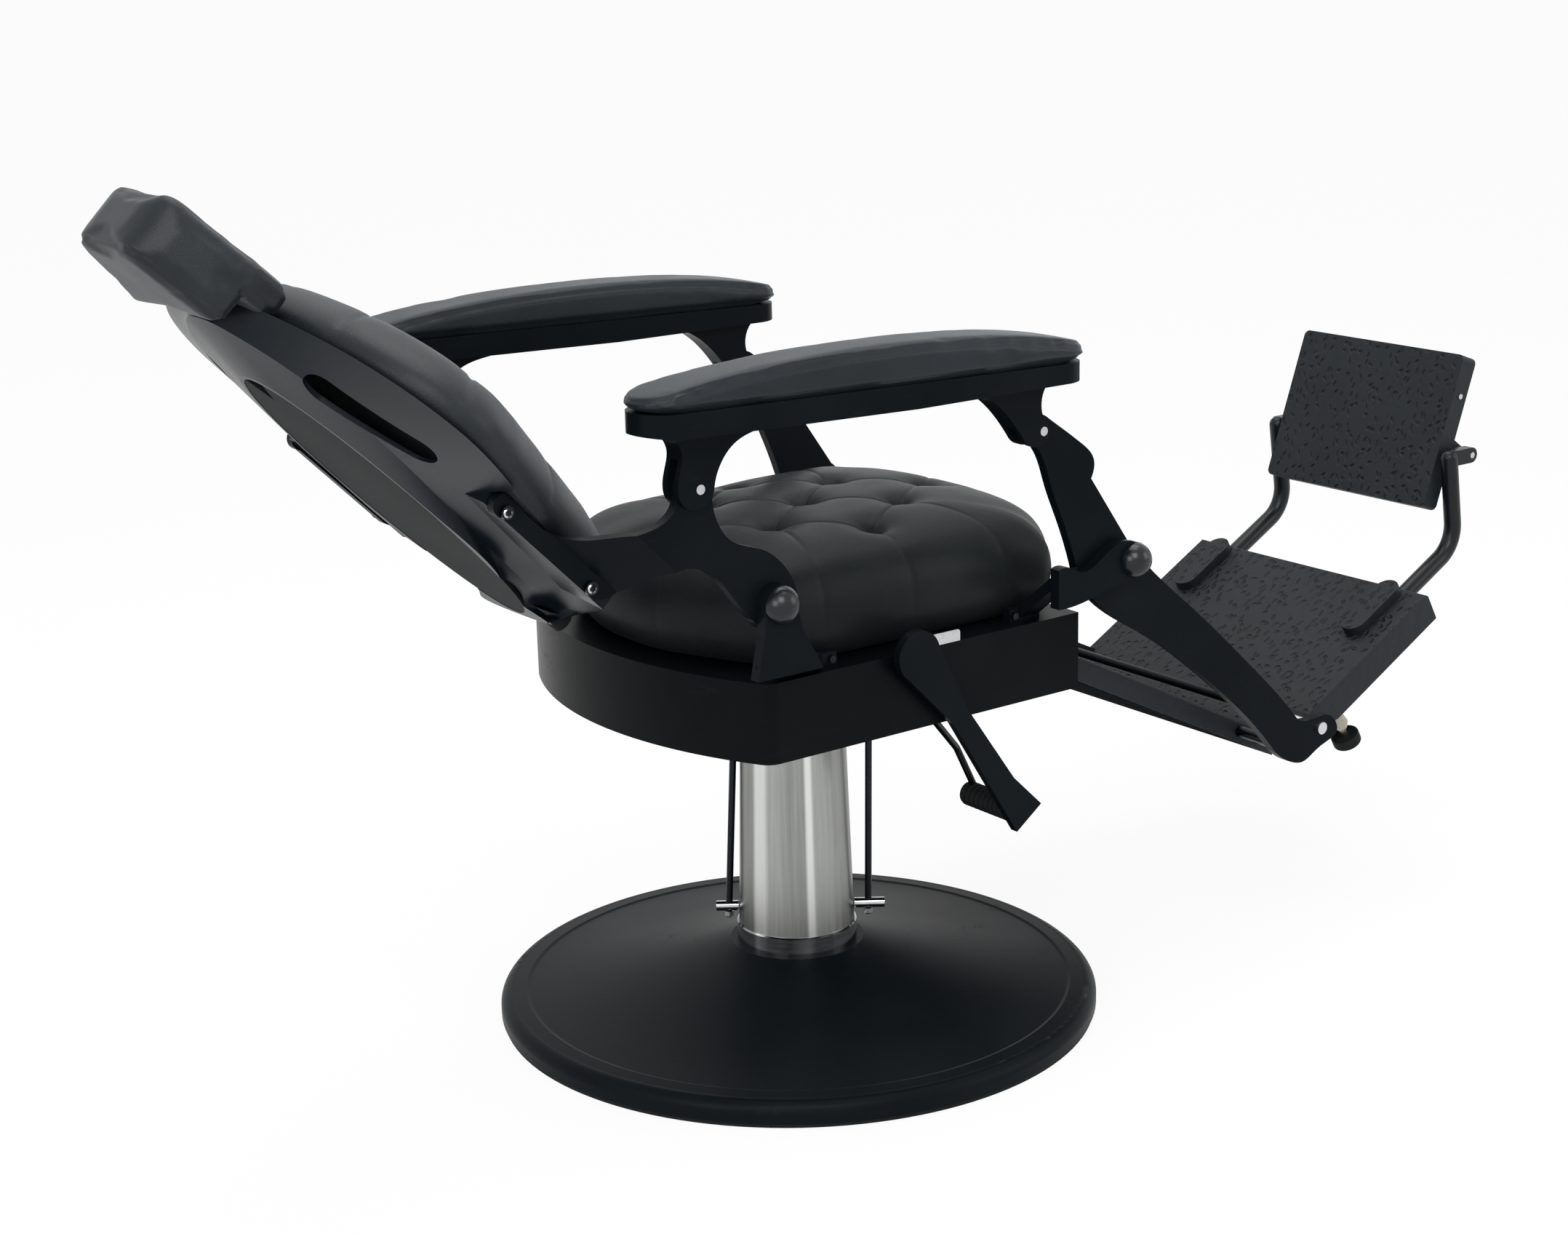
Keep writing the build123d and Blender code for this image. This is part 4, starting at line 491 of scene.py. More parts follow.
class Look(Enum):
    """The finishes of the chair."""

    SEAT_LEATHER = Leather("seat_leather", (0.0048, 0.0062, 0.0066), (0.0150, 0.0178, 0.0185), 0.38, specular=0.075,
                           sheen=0.02)
    BACK_LEATHER = Leather("back_leather", specular=0.26, sheen=0.06)
    PAD_LEATHER = Leather("pad_leather", (0.0040, 0.0070, 0.0095), (0.0130, 0.0180, 0.0230), 0.38)
    BASE_PAINT = Enamel("base_paint", (0.0018, 0.0034, 0.0050), (0.0072, 0.0100, 0.0122), 0.40, specular=0.055)
    PAN_PAINT = Enamel("pan_paint", (0.0014, 0.0020, 0.0028), (0.0052, 0.0068, 0.0080), 0.34, specular=0.055)
    CASTING_PAINT = Enamel("casting_paint", roughness=0.33, peel=190.0, peel_depth=0.00022, specular=0.045)
    DOME_PAINT = Enamel("dome_paint", roughness=0.26, specular=0.34, coat=0.12)
    SHELL_PLASTIC = Enamel("shell_plastic", (0.0034, 0.0058, 0.0085), (0.0125, 0.0170, 0.0225), 0.30, 420.0,
                           specular=0.085)
    PANEL_PLASTIC = Enamel("panel_plastic", (0.0060, 0.0078, 0.0085), (0.0150, 0.0178, 0.0185), 0.58, 380.0,
                           specular=0.05)
    TUBE_PAINT = Enamel("tube_paint", roughness=0.30, peel=300.0, specular=0.26)
    LEVER_PAINT = Enamel("lever_paint", roughness=0.34, specular=0.055)
    FOOT_TREAD = Hammered("foot_tread", FOOT_PITCH)
    CALF_TREAD = Hammered("calf_tread", CALF_PITCH)
    STEP_TREAD = Hammered("step_tread", STEP_PITCH)
    # column sleeve: brushing streaks with painted reflections, dark and bright bands that go round it
    BRUSHED_PAINTED_REFLECTION = Steel(
        "brushed_steel", (0.045, 0.050, 0.046), (0.74, 0.75, 0.72), 0.30, (170.0, 170.0, 2.2), 0.00004, 0.16,
        (
            (0.00, 0.42), (0.06, 0.34), (0.11, 0.20), (0.15, 0.10), (0.30, 0.48), (0.50, 0.30), (0.648, 0.14),
            (0.700, 0.22), (0.762, 0.30), (0.775, 0.88), (0.805, 0.86), (0.822, 0.46), (0.868, 0.40), (0.885, 0.34),
            (0.926, 0.36), (0.934, 1.00), (0.946, 1.00), (0.955, 0.46), (1.00, 0.42),
        ),
    )
    CHROME = Steel("bright_chrome", (0.72, 0.72, 0.73), (0.30, 0.31, 0.33), 0.10, (60.0, 60.0, 60.0), 0.00001, 0.08)
    # collar: polished metal with painted reflections, dark and bright bands that go round it
    COLLAR_CHROME_PAINTED_REFLECTION = Steel(
        "collar_chrome", (0.050, 0.053, 0.055), (0.80, 0.82, 0.84), 0.12, (40.0, 40.0, 240.0), 0.00001, 0.08,
        ((0.0, 0.3), (0.25, 0.35), (0.5, 0.5), (0.66, 0.12), (0.77, 0.30), (0.785, 0.95), (0.82, 0.30),
         (0.88, 0.16), (0.93, 0.62), (0.95, 0.24)),
    )
    ZINC = Steel("zinc_plate", (0.62, 0.62, 0.63), (0.36, 0.37, 0.39), 0.24, (320.0, 320.0, 320.0))
    STEM_STEEL = Steel("stem_steel", (0.46, 0.44, 0.36), (0.22, 0.21, 0.18), 0.26, (320.0, 320.0, 320.0))
    DARK_STEEL = Steel("dark_steel", (0.028, 0.030, 0.034), (0.010, 0.012, 0.015), 0.30, (260.0, 260.0, 260.0))
    BRASS = Steel("bearing_brass", (0.62, 0.44, 0.20), (0.42, 0.29, 0.12), 0.26, (200.0, 200.0, 40.0))
    AXLE = AxleSteel("axle_steel")
    RUBBER = Rubber("black_rubber")


class Palette:
    """Makes each finish once and puts it on objects."""

    def __init__(self) -> None:
        """Starts with no material made."""
        self.made: dict[Look, Material] = {}

    def get(self, look: Look) -> Material:
        """The material of a finish."""
        if look not in self.made:
            self.made[look] = look.value.build()
        return self.made[look]

    def paint(self, look: Look, *nodes: str) -> None:
        """Gives CAD nodes a finish.

        Args:
            look: the finish.
            nodes: names of the nodes.
        """
        for name in nodes:
            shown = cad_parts[name]
            if not shown.material_slots:
                shown.data.materials.append(self.get(look))
            for slot in shown.material_slots:
                slot.material = self.get(look)

    def cover(self, piece: Object, look: Look) -> None:
        """Gives a new piece one finish."""
        piece.data.materials.clear()
        piece.data.materials.append(self.get(look))


# ------------------------------------------------------------------ mesh tools
def link(name: str, data: ID) -> Object:
    """Puts an object with the given data into the scene and returns it."""
    made = bpy.data.objects.new(name, data)
    bpy.context.scene.collection.objects.link(made)
    return made


def weld(mesh: Mesh, gap: float = TINY, outwards: bool = True) -> None:
    """Joins the corners of a mesh that lie together.

    Args:
        mesh: the mesh.
        gap: how far apart such corners lie at most, in metres.
        outwards: whether the faces are turned to point outwards too.
    """
    work = bmesh.new()
    work.from_mesh(mesh)
    bmesh.ops.remove_doubles(work, verts=work.verts, dist=gap)
    if outwards:
        bmesh.ops.recalc_face_normals(work, faces=work.faces)
    work.to_mesh(mesh)
    work.free()


def new_piece(name: str, points: Sequence[Point], faces: Sequence[Sequence[int]], smooth: bool = True) -> Object:
    """Makes a mesh object at the origin with faces that point outwards.

    Args:
        name: name of the piece.
        points: its corners, in metres.
        faces: its faces, as corner numbers.
        smooth: whether it is shaded smooth.

    Returns:
        The object, linked to the scene.
    """
    mesh = bpy.data.meshes.new(name)
    mesh.from_pydata([tuple(map(float, point)) for point in points], [], [tuple(map(int, one)) for one in faces])
    weld(mesh)
    mesh.polygons.foreach_set("use_smooth", [smooth] * len(mesh.polygons))
    return link(name, mesh)


def merged_copy(node: str, name: str) -> Object:
    """Copy of a CAD node's mesh with its corners joined, so that it is one closed skin.

    Args:
        node: name of the CAD node.
        name: name of the copy.

    Returns:
        The copy, linked to the scene.
    """
    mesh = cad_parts[node].data.copy()
    mesh.materials.clear()
    weld(mesh, 1e-5, outwards=False)
    return link(name, mesh)


def keep_evaluated(piece: Object) -> None:
    """Turns a piece's modifiers into plain mesh.

    Args:
        piece: the piece, which keeps its name.
    """
    bpy.context.view_layer.update()
    depsgraph = bpy.context.evaluated_depsgraph_get()
    mesh = bpy.data.meshes.new_from_object(piece.evaluated_get(depsgraph))
    piece.modifiers.clear()
    piece.data = mesh


def corners_of(piece: Object) -> np.ndarray:
    """A piece's corners as rows of numbers."""
    rows = np.empty(3 * len(piece.data.vertices))
    piece.data.vertices.foreach_get("co", rows)
    return rows.reshape(-1, 3)


def set_corners(piece: Object, rows: np.ndarray) -> None:
    """Moves a piece's corners."""
    piece.data.vertices.foreach_set("co", rows.reshape(-1))
    piece.data.update()


def normals_of(piece: Object) -> np.ndarray:
    """Outward directions at a piece's corners."""
    return np.array([tuple(one.vector) for one in piece.data.vertex_normals])


def swell(piece: Object, pressure: float, cap: float, steps: int = 20) -> None:
    """Blows a closed skin up with a cloth simulation and keeps the result.

    Args:
        piece: the closed skin.
        pressure: pressure inside it.
        cap: the furthest that a point may move, in metres.
        steps: frames to simulate.
    """
    start = corners_of(piece)
    cloth = piece.modifiers.new("swell", "CLOTH")
    cloth.settings.use_pressure = True
    cloth.settings.uniform_pressure_force = pressure
    cloth.settings.effector_weights.gravity = 0.0
    cloth.settings.quality = 5
    cloth.point_cache.frame_start = 1
    cloth.point_cache.frame_end = steps
    for number in range(1, steps + 1):
        bpy.context.scene.frame_set(number)
    moved = piece.evaluated_get(bpy.context.evaluated_depsgraph_get())
    rows = np.array([tuple(corner.co) for corner in moved.data.vertices])
    piece.modifiers.clear()
    shift = rows - start
    length = np.linalg.norm(shift, axis=1, keepdims=True)
    shift *= np.minimum(1.0, cap / np.maximum(length, 1e-9))
    set_corners(piece, start + shift)
    bpy.context.scene.frame_set(1)


def sharp_points(piece: Object, least: float, step: float = 0.002) -> KDTree:
    """Points along the sharp edges of a piece.

    Args:
        piece: the piece.
        least: least angle between the faces of an edge, in radians.
        step: distance between the points.

    Returns:
        A search tree of the points.
    """
    work = bmesh.new()
    work.from_mesh(piece.data)
    spots: list[Vector] = []
    for edge in work.edges:
        if len(edge.link_faces) == 2 and edge.calc_face_angle(0.0) > least:
            start, end = edge.verts[0].co, edge.verts[1].co
            count = max(2, int((end - start).length / step))
            spots += [start.lerp(end, number / count) for number in range(count + 1)]
    work.free()
    tree = KDTree(len(spots))
    for number, spot in enumerate(spots):
        tree.insert(spot, number)
    tree.balance()
    return tree


def closed_skin(rings: int, around: int) -> list[tuple[int, ...]]:
    """Faces of a closed skin over rings of corners that each go once round.

    Args:
        rings: number of rings.
        around: number of corners in a ring.

    Returns:
        The quads between the rings, then the first and the last ring's own faces.
    """
    faces = []
    for first in range(0, (rings - 1) * around, around):
        for step in range(around):
            after = (step + 1) % around
            faces.append((first + step, first + after, first + around + after, first + around + step))
    return [*faces, tuple(range(around))[::-1], tuple(range((rings - 1) * around, rings * around))]


def bend(knots: Sequence[np.ndarray], t: np.ndarray) -> np.ndarray:
    """Smooth curve between the middle two of four knots.

    Args:
        knots: the four knots.
        t: shares of the way from the second knot to the third.

    Returns:
        The curve's points.
    """
    p0, p1, p2, p3 = knots
    square = 2 * p0 - 5 * p1 + 4 * p2 - p3
    cube = 3 * p1 - p0 - 3 * p2 + p3
    return 0.5 * (2 * p1 + (p2 - p0) * t + square * t**2 + cube * t**3)


def even_run(line: np.ndarray) -> np.ndarray:
    """Length along a line at each of its points."""
    return np.concatenate([[0.0], np.cumsum(np.linalg.norm(np.diff(line, axis=0), axis=1))])


def round_curve(half: Sequence[Pair], count: int, steps: int = 24) -> np.ndarray:
    """Smooth closed curve through points and their mirror image.

    Args:
        half: the points on one side, from one point on the mirror line to the other.
        count: number of points to return, evenly spaced along the curve.
        steps: number of points between two knots while the curve is measured.

    Returns:
        The curve's points.
    """
    knots = np.array([*half, *[(-x, y) for x, y in half[-2:0:-1]]])
    shares = np.linspace(0.0, 1.0, steps, endpoint=False)[:, None]
    curve = [bend(np.roll(knots, 1 - index, axis=0)[:4], shares) for index in range(len(knots))]
    line = np.concatenate([*curve, curve[0][:1]])
    run = even_run(line)
    spots = np.linspace(0.0, run[-1], count, endpoint=False)
    return np.stack([np.interp(spots, run, line[:, axis]) for axis in (0, 1)], axis=1)


def segment_distance(rows: np.ndarray, start: Pair, end: Pair) -> np.ndarray:
    """Distance of points in a plane from a straight run between two points.

    Args:
        rows: the points.
        start: start of the run.
        end: end of the run.

    Returns:
        The distances.
    """
    first, second = np.array(start, float), np.array(end, float)
    run = second - first
    share = np.clip(((rows - first) @ run) / (run @ run), 0.0, 1.0)
    return np.linalg.norm(rows - first - share[:, None] * run, axis=1)


def crease(distance: np.ndarray, width: float) -> np.ndarray:
    """Groove of depth 1 that fades with distance."""
    return np.exp(-((distance / width) ** 2))


# ------------------------------------------------------------------ geometry nodes
class PatternTree(Graph):
    """Builds one geometry node tree that repeats a small shape over the corners of a mesh."""

    def __init__(self, name: str, *sizes: str) -> None:
        """Starts an empty tree with a mesh in and a mesh out.

        Args:
            name: name of the tree.
            sizes: names of its sizes.
        """
        super().__init__(bpy.data.node_groups.new(name, "GeometryNodeTree"))
        add = self.tree.interface.new_socket
        for way in ("INPUT", "OUTPUT"):
            add("Geometry", in_out=way, socket_type="NodeSocketGeometry")
        self.sockets: dict[str, str] = {}
        for key in sizes:
            self.sockets[key] = add(key, in_out="INPUT", socket_type="NodeSocketFloat").identifier
        self.start = self.node("NodeGroupInput")

    def finish(self, shape: NodeSocket, material: Material) -> None:
        """Puts the shape on each corner, turned the way that the corner's "facing" says.

        Args:
            shape: the small shape.
            material: finish of the copies.
        """
        facing = self.node("GeometryNodeInputNamedAttribute", {"Name": "facing"}, data_type="FLOAT_VECTOR")
        turn = self.node("FunctionNodeAlignRotationToVector", {"Vector": facing.outputs[0]}, axis="Z")
        inputs = {"Points": self.start.outputs[0], "Instance": shape, "Rotation": turn.outputs[0]}
        placed = self.node("GeometryNodeInstanceOnPoints", inputs)
        real = self.node("GeometryNodeRealizeInstances", {0: placed.outputs[0]})
        smooth = self.node("GeometryNodeSetShadeSmooth", {0: real.outputs[0]})
        dressed = self.node("GeometryNodeSetMaterial", {"Geometry": smooth.outputs[0], "Material": material})
        self.node("NodeGroupOutput", {0: dressed.outputs[0]})

    def run(self, name: str, places: Sequence[Point], facing: Sequence[Point], **sizes: float) -> Object:
        """Runs the tree over places and keeps the result as plain mesh.

        Args:
            name: name of the new piece.
            places: where the copies go.
            facing: the direction that each copy faces.
            sizes: values of the tree's named sizes.

        Returns:
            The new piece.
        """
        mesh = bpy.data.meshes.new(name)
        mesh.from_pydata([tuple(map(float, place)) for place in places], [], [])
        kept = mesh.attributes.new("facing", "FLOAT_VECTOR", "POINT")
        kept.data.foreach_set("vector", np.array(facing, np.float32).reshape(-1))
        piece = link(name, mesh)
        modifier = piece.modifiers.new("pattern", "NODES")
        modifier.node_group = self.tree
        for key, value in sizes.items():
            modifier[self.sockets[key]] = value
        keep_evaluated(piece)
        weld(piece.data)
        return piece


def stud_tree(material: Material, name: str, sides: int) -> PatternTree:
    """Tree that puts a low round or many-sided stud, facing its own way, on each point.

    Args:
        material: finish of the studs.
        name: name of the tree.
        sides: number of sides of a stud.

    Returns:
        The tree, with the sizes radius and height.
    """
    made = PatternTree(name, "radius", "height")
    inputs = {"Vertices": sides, "Radius": made.start.outputs["radius"], "Depth": made.start.outputs["height"]}
    stud = made.node("GeometryNodeMeshCylinder", inputs, fill_type="NGON")
    made.finish(stud.outputs["Mesh"], material)
    return made


def button_tree(material: Material) -> PatternTree:
    """Tree that puts a leather button, a flattened ball, on each point.

    Args:
        material: finish of the buttons.

    Returns:
        The tree, with the sizes radius and flatness.
    """
    made = PatternTree("tufting_buttons", "radius", "flatness")
    size = made.start.outputs
    ball = made.node("GeometryNodeMeshUVSphere", {"Segments": 24, "Rings": 12, "Radius": size["radius"]})
    scale = made.node("ShaderNodeCombineXYZ", {0: 1.0, 1: 1.0, 2: size["flatness"]})
    flat = made.node("GeometryNodeTransform", {"Geometry": ball.outputs[0], "Scale": scale.outputs[0]})
    made.finish(flat.outputs[0], material)
    return made


# ------------------------------------------------------------------ upholstery
@dataclass(frozen=True)
class Groove:
    """A dip or a seam made of a sharp and a soft part."""

    sharp_depth: float
    sharp_width: float
    soft_depth: float
    soft_width: float

    def at(self, distance: np.ndarray) -> np.ndarray:
        """Depth at a distance from the middle of the groove."""
        sharp = self.sharp_depth * crease(distance, self.sharp_width)
        return sharp + self.soft_depth * crease(distance, self.soft_width)

    def dips(self, plan: np.ndarray, spots: Sequence[Pair]) -> np.ndarray:
        """Depth of the dips at buttons, at places in the plan."""
        return np.maximum.reduce([self.at(np.linalg.norm(plan - np.array(spot), axis=1)) for spot in spots])

    def folds(self, plan: np.ndarray, lines: Sequence[Pleat]) -> np.ndarray:
        """Depth of pleats, given as start, end and share of the depth, at places in the plan."""
        away = ((share, segment_distance(plan, start, end)) for start, end, share in lines)
        return np.maximum.reduce([share * self.at(distance) for share, distance in away])


def pleats_between(spots: Sequence[Pair], reach: float, row_gap: float = 0.01) -> list[Pleat]:
    """Pleats between buttons on different rows.

    Args:
        spots: the buttons' places.
        reach: the longest pleat.
        row_gap: least distance between two rows.

    Returns:
        Start, end and full depth of each pleat.
    """
    return [
        (first, second, 1.0)
        for index, first in enumerate(spots)
        for second in spots[index + 1:]
        if abs(first[1] - second[1]) > row_gap and math.dist(first, second) < reach
    ]


@dataclass
class SeatCushion:
    """Tufted seat: a crowned closed form with nine buttons and pleats that run out over its sides."""

    palette: Palette
    half_width: float = 0.2035
    front: float = -0.286
    back: float = 0.236
    floor: float = 0.4784
    crown: float = 0.6035
    dip: float = 0.0165
    fade_share: float = 0.30
    dip_groove: Groove = Groove(0.62, 0.0115, 0.50, 0.027)
    pleat_groove: Groove = Groove(0.085, 0.0022, 0.045, 0.011)
    button_radius: float = 0.0105
    button_flatness: float = 0.40
    button_lift: float = 0.0006
    dip_reach: float = 0.004
    rows: tuple[int, ...] = (1, 2, 3, 2, 1)
    row_pitch: float = 0.090
    column_pitch: float = 0.130
    middle: float = -0.020
    around: int = 420
    rings: int = 170
    # one half of the plan, from the middle of the front to the middle of the back
    plan: tuple[Pair, ...] = (
        (0.0, -0.286), (0.071225, -0.280), (0.13431, -0.264), (0.17498, -0.234), (0.1943, -0.22028),
        (0.2035, -0.189), (0.205942, -0.09), (0.205942, 0.04), (0.2035, 0.1294), (0.19614, 0.16344),
        (0.1713, 0.18552), (0.12617, 0.206), (0.067155, 0.229), (0.0, 0.236),
    )
    # shares of the plan and of the height, from the middle of the top, over the shoulder, down to the floor
    section: tuple[Pair, ...] = (
        (0.0, 1.0), (0.25, 0.997), (0.5, 0.978), (0.7, 0.936), (0.84, 0.862), (0.93, 0.745), (0.983, 0.590),
        (1.004, 0.420), (1.0, 0.260), (0.972, 0.115), (0.935, 0.030), (0.900, 0.0),
    )
    # pleats of one side from the outer buttons over the edge: start, end and share of the depth
    side_pleats: tuple[Pleat, ...] = (
        ((0.130, -0.020), (0.30, -0.008), 0.85), ((0.065, -0.110), (0.30, -0.175), 0.8),
        ((0.065, 0.070), (0.30, 0.128), 0.8), ((0.0, -0.200), (0.16, -0.36), 0.7), ((0.0, 0.160), (0.15, 0.31), 0.7),
    )

    @property
    def height(self) -> float:
        """Height of the cushion."""
        return self.crown - self.floor

    def buttons(self) -> list[Pair]:
        """Places of the buttons, from the front row to the back row."""
        places = []
        for row, count in enumerate(self.rows):
            y = self.middle + (row - (len(self.rows) - 1) / 2) * self.row_pitch
            places += [((column - (count - 1) / 2) * self.column_pitch, y) for column in range(count)]
        return places

    def pleats(self) -> list[Pleat]:
        """Pleats as start, end and share of the depth: between buttons, and over the sides."""
        reach = math.hypot(self.row_pitch, self.column_pitch / 2) * 1.05
        return pleats_between(self.buttons(), reach) + [
            ((side * start[0], start[1]), (side * end[0], end[1]), share)
            for side in (-1.0, 1.0) for start, end, share in self.side_pleats
        ]

    def profile(self) -> tuple[np.ndarray, np.ndarray, np.ndarray, np.ndarray]:
        """Smooth form of the section.

        Returns:
            Reach and level at each ring, as shares of the plan and of the height, and the shares of the
            outward and of the upward push there.
        """
        knots = np.array(self.section)
        padded = np.concatenate([[2 * knots[0] - knots[1]], knots, [2 * knots[-1] - knots[-2]]])
        spots = np.linspace(0.0, len(knots) - 1.0, 40 * len(knots))
        step = np.minimum(spots.astype(int), len(knots) - 2)
        smooth = bend([padded[step + k] for k in range(4)], (spots - step)[:, None])
        run = even_run(smooth * np.array([1.0, 0.6]))
        even = np.linspace(0.0, run[-1], self.rings)
        reach = np.maximum(np.interp(even, run, smooth[:, 0]), 0.003)
        level = np.interp(even, run, smooth[:, 1])
        along, rise = np.gradient(reach * self.half_width), np.gradient(level * self.height)
        length = np.hypot(along, rise)
        return reach, level, -rise / length, along / length

    def skin(self) -> np.ndarray:
        """Corners of the cushion, ring by ring, with its tufting pushed in along the section's own normal.

        Returns:
            The corners.
        """
        edge = round_curve(self.plan, self.around)
        centre = np.array([0.0, (self.front + self.back) / 2])
        reach, level, push_out, push_up = self.profile()
        points = np.concatenate([
            np.column_stack([centre + (edge - centre) * far, np.full(len(edge), self.floor + self.height * rise)])
            for far, rise in zip(reach, level)
        ])
        plan = points[:, :2].copy()
        tufting = self.dip_groove.dips(plan, self.buttons()) + self.pleat_groove.folds(plan, self.pleats())
        fade = np.clip((points[:, 2] - self.floor) / (self.fade_share * self.height), 0.0, 1.0)
        sunk = self.dip * tufting * fade
        outward = plan - centre
        outward /= np.maximum(np.linalg.norm(outward, axis=1, keepdims=True), TINY)
        points[:, :2] -= outward * (sunk * np.repeat(push_out, self.around))[:, None]
        points[:, 2] -= sunk * np.repeat(push_up, self.around)
        return points

    def build(self) -> Object:
        """Makes the cushion and its buttons.

        Returns:
            The cushion.
        """
        points = self.skin()
        cushion = new_piece("seat_cushion_leather", points, closed_skin(self.rings, self.around))
        self.palette.cover(cushion, Look.SEAT_LEATHER)
        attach(cushion, "seat")
        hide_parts("seat_cushion")
        self.add_buttons(points)
        return cushion

    def add_buttons(self, points: np.ndarray) -> None:
        """Puts a leather button in each dip of the cushion.

        Args:
            points: the cushion's corners.
        """
        top = points[points[:, 2] > self.floor + 0.5 * self.height]
        places = []
        for x, y in self.buttons():
            away = np.hypot(top[:, 0] - x, top[:, 1] - y)
            near = top[away < max(self.dip_reach, away.min() + 1e-4)]
            places.append((x, y, near[:, 2].min() + self.button_lift))
        tree = button_tree(self.palette.get(Look.SEAT_LEATHER))
        buttons = tree.run("seat_button_caps", places, [(0, 0, 1)] * len(places),
                           radius=self.button_radius, flatness=self.button_flatness)
        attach(buttons, "seat")
        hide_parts("seat_buttons")


RECLINE_PIN = (0.222, 0.580)
HALF_TURN = math.sqrt(0.5)


def on_back(across: np.ndarray, along: np.ndarray, out: np.ndarray) -> np.ndarray:
    """Places on the reclined back, turned into the chair's frame.

    Args:
        across: distances from the middle, towards the sitter's left.
        along: distances from the recline pin, up the back.
        out: distances out from the pin's line, towards the sitter.

    Returns:
        The places.
    """
    return np.column_stack([
        across,
        RECLINE_PIN[0] + (along - out) * HALF_TURN,
        RECLINE_PIN[1] + (along + out) * HALF_TURN,
    ])


@dataclass
class BackCushion:
    """Back pad: a puffed ring of sewn panels around a buttoned middle, on the front of the shell."""

    palette: Palette
    rim_level: float = -0.0866
    ring_level: float = -0.0330
    ring_rise: float = 0.009
    crown: float = -0.0120
    middle: float = 0.315
    seam_share: float = 0.60
    mix_width: float = 0.12
    dome_share: float = 0.66
    dome_power: float = 2.4
    ring_share: float = 0.78
    ring_spread: float = 0.13
    roll_start: float = 0.74
    roll_power: float = 2.2
    edge_rise: float = 0.16
    mean_radius: float = 0.22
    inset: float = 0.97
    around: int = 360
    rings: int = 120
    inner_seam_depth: float = 0.0040
    inner_seam_width: float = 0.0032
    panel_seam: Groove = Groove(0.0024, 0.0024, 0.0009, 0.012)
    dip_groove: Groove = Groove(0.0075, 0.013, 0.0075, 0.032)
    pleat_groove: Groove = Groove(0.0032, 0.003, 0.0026, 0.013)
    pleat_reach: float = 0.095
    button_radius: float = 0.0095
    button_flatness: float = 0.45
    button_sink: float = 0.0115
    button_reach: float = 0.21
    last_share: float = 0.55
    seam_turns: tuple[float, ...] = (20.0, 52.0, 90.0, 128.0, 160.0, 200.0, 232.0, 308.0, 340.0)
    # one half of the edge, across and along the back, from the top to the bottom
    plan: tuple[Pair, ...] = (
        (0.0, 0.530), (0.1188, 0.51115), (0.19272, 0.48215), (0.24288, 0.4401), (0.264, 0.385), (0.25476, 0.34002),
        (0.2376, 0.2985), (0.2112, 0.23622), (0.1848, 0.17394), (0.15312, 0.1082), (0.10296, 0.05976), (0.0, 0.039),
    )
    button_rows: tuple[tuple[float, tuple[float, ...]], ...] = (
        (0.175, (0.0,)), (0.245, (-0.05, 0.05)), (0.315, (-0.09, 0.0, 0.09)), (0.385, (-0.05, 0.05)), (0.440, (0.0,)),
    )

    def buttons(self) -> list[Pair]:
        """Places of the buttons in the middle of the pad."""
        return [(x, along) for along, row in self.button_rows for x in row]

    def level(self, share: float) -> float:
        """Height of the pad out from the back.

        Args:
            share: share of the way from its middle to its edge.

        Returns:
            The height.
        """
        past = max(0.0, (share - self.roll_start) / (1.0 - self.roll_start))
        roll = max(0.0, 1.0 - past**self.roll_power) ** 0.5
        ring = self.ring_level + self.ring_rise * math.exp(-(((share - self.ring_share) / self.ring_spread) ** 2))
        dome = self.crown - (self.crown - self.ring_level) * min(1.0, share / self.dome_share) ** self.dome_power
        mix = min(1.0, max(0.0, (share - self.seam_share) / self.mix_width + 0.5))
        body = dome * (1 - mix) + ring * mix
        rise = self.edge_rise + (1.0 - self.edge_rise) * roll if share < 0.999 else 0.0
        return self.rim_level + (body - self.rim_level) * rise

    def seams(self, plan: np.ndarray, centre: np.ndarray) -> np.ndarray:
        """Depth of the seams between the ring's panels.

        Args:
            plan: places across and along the back.
            centre: the point that the seams run out from.

        Returns:
            The depth at each place.
        """
        turn = np.degrees(np.arctan2(plan[:, 1] - centre[1], plan[:, 0])) % 360.0
        radius = np.linalg.norm(plan - centre, axis=1)
        swings = [np.radians((turn - angle + 180.0) % 360.0 - 180.0) for angle in self.seam_turns]
        return np.maximum.reduce([self.panel_seam.at(np.abs(swing) * radius) for swing in swings])

    def skin(self) -> np.ndarray:
        """Corners of the pad, ring by ring, with a last ring on the shell.

        Returns:
            The corners.
        """
        edge = round_curve(self.plan, self.around)
        centre = np.array([0.0, self.middle])
        shares = [max(0.004, ring / (self.rings - 1)) for ring in range(self.rings)]
        plan = np.concatenate([centre + (edge - centre) * share for share in shares])
        ratio = np.repeat(shares, self.around)
        on_ring = np.clip((ratio - self.seam_share + 0.015) / 0.03, 0.0, 1.0)
        spots = self.buttons()
        folds = self.pleat_groove.folds(plan, pleats_between(spots, self.pleat_reach))
        sunk = np.maximum(self.dip_groove.dips(plan, spots), folds) * (1.0 - on_ring)
        sunk += self.seams(plan, centre) * on_ring * (ratio < 0.985)
        inner = (ratio - self.seam_share) * self.mean_radius
        sunk += crease(inner, self.inner_seam_width) * self.inner_seam_depth
        out = np.repeat([self.level(share) for share in shares], self.around) - sunk
        foot = centre + (edge - centre) * self.inset
        rim = on_back(foot[:, 0], foot[:, 1], np.full(self.around, self.rim_level))
        return np.concatenate([on_back(plan[:, 0], plan[:, 1], out), rim])

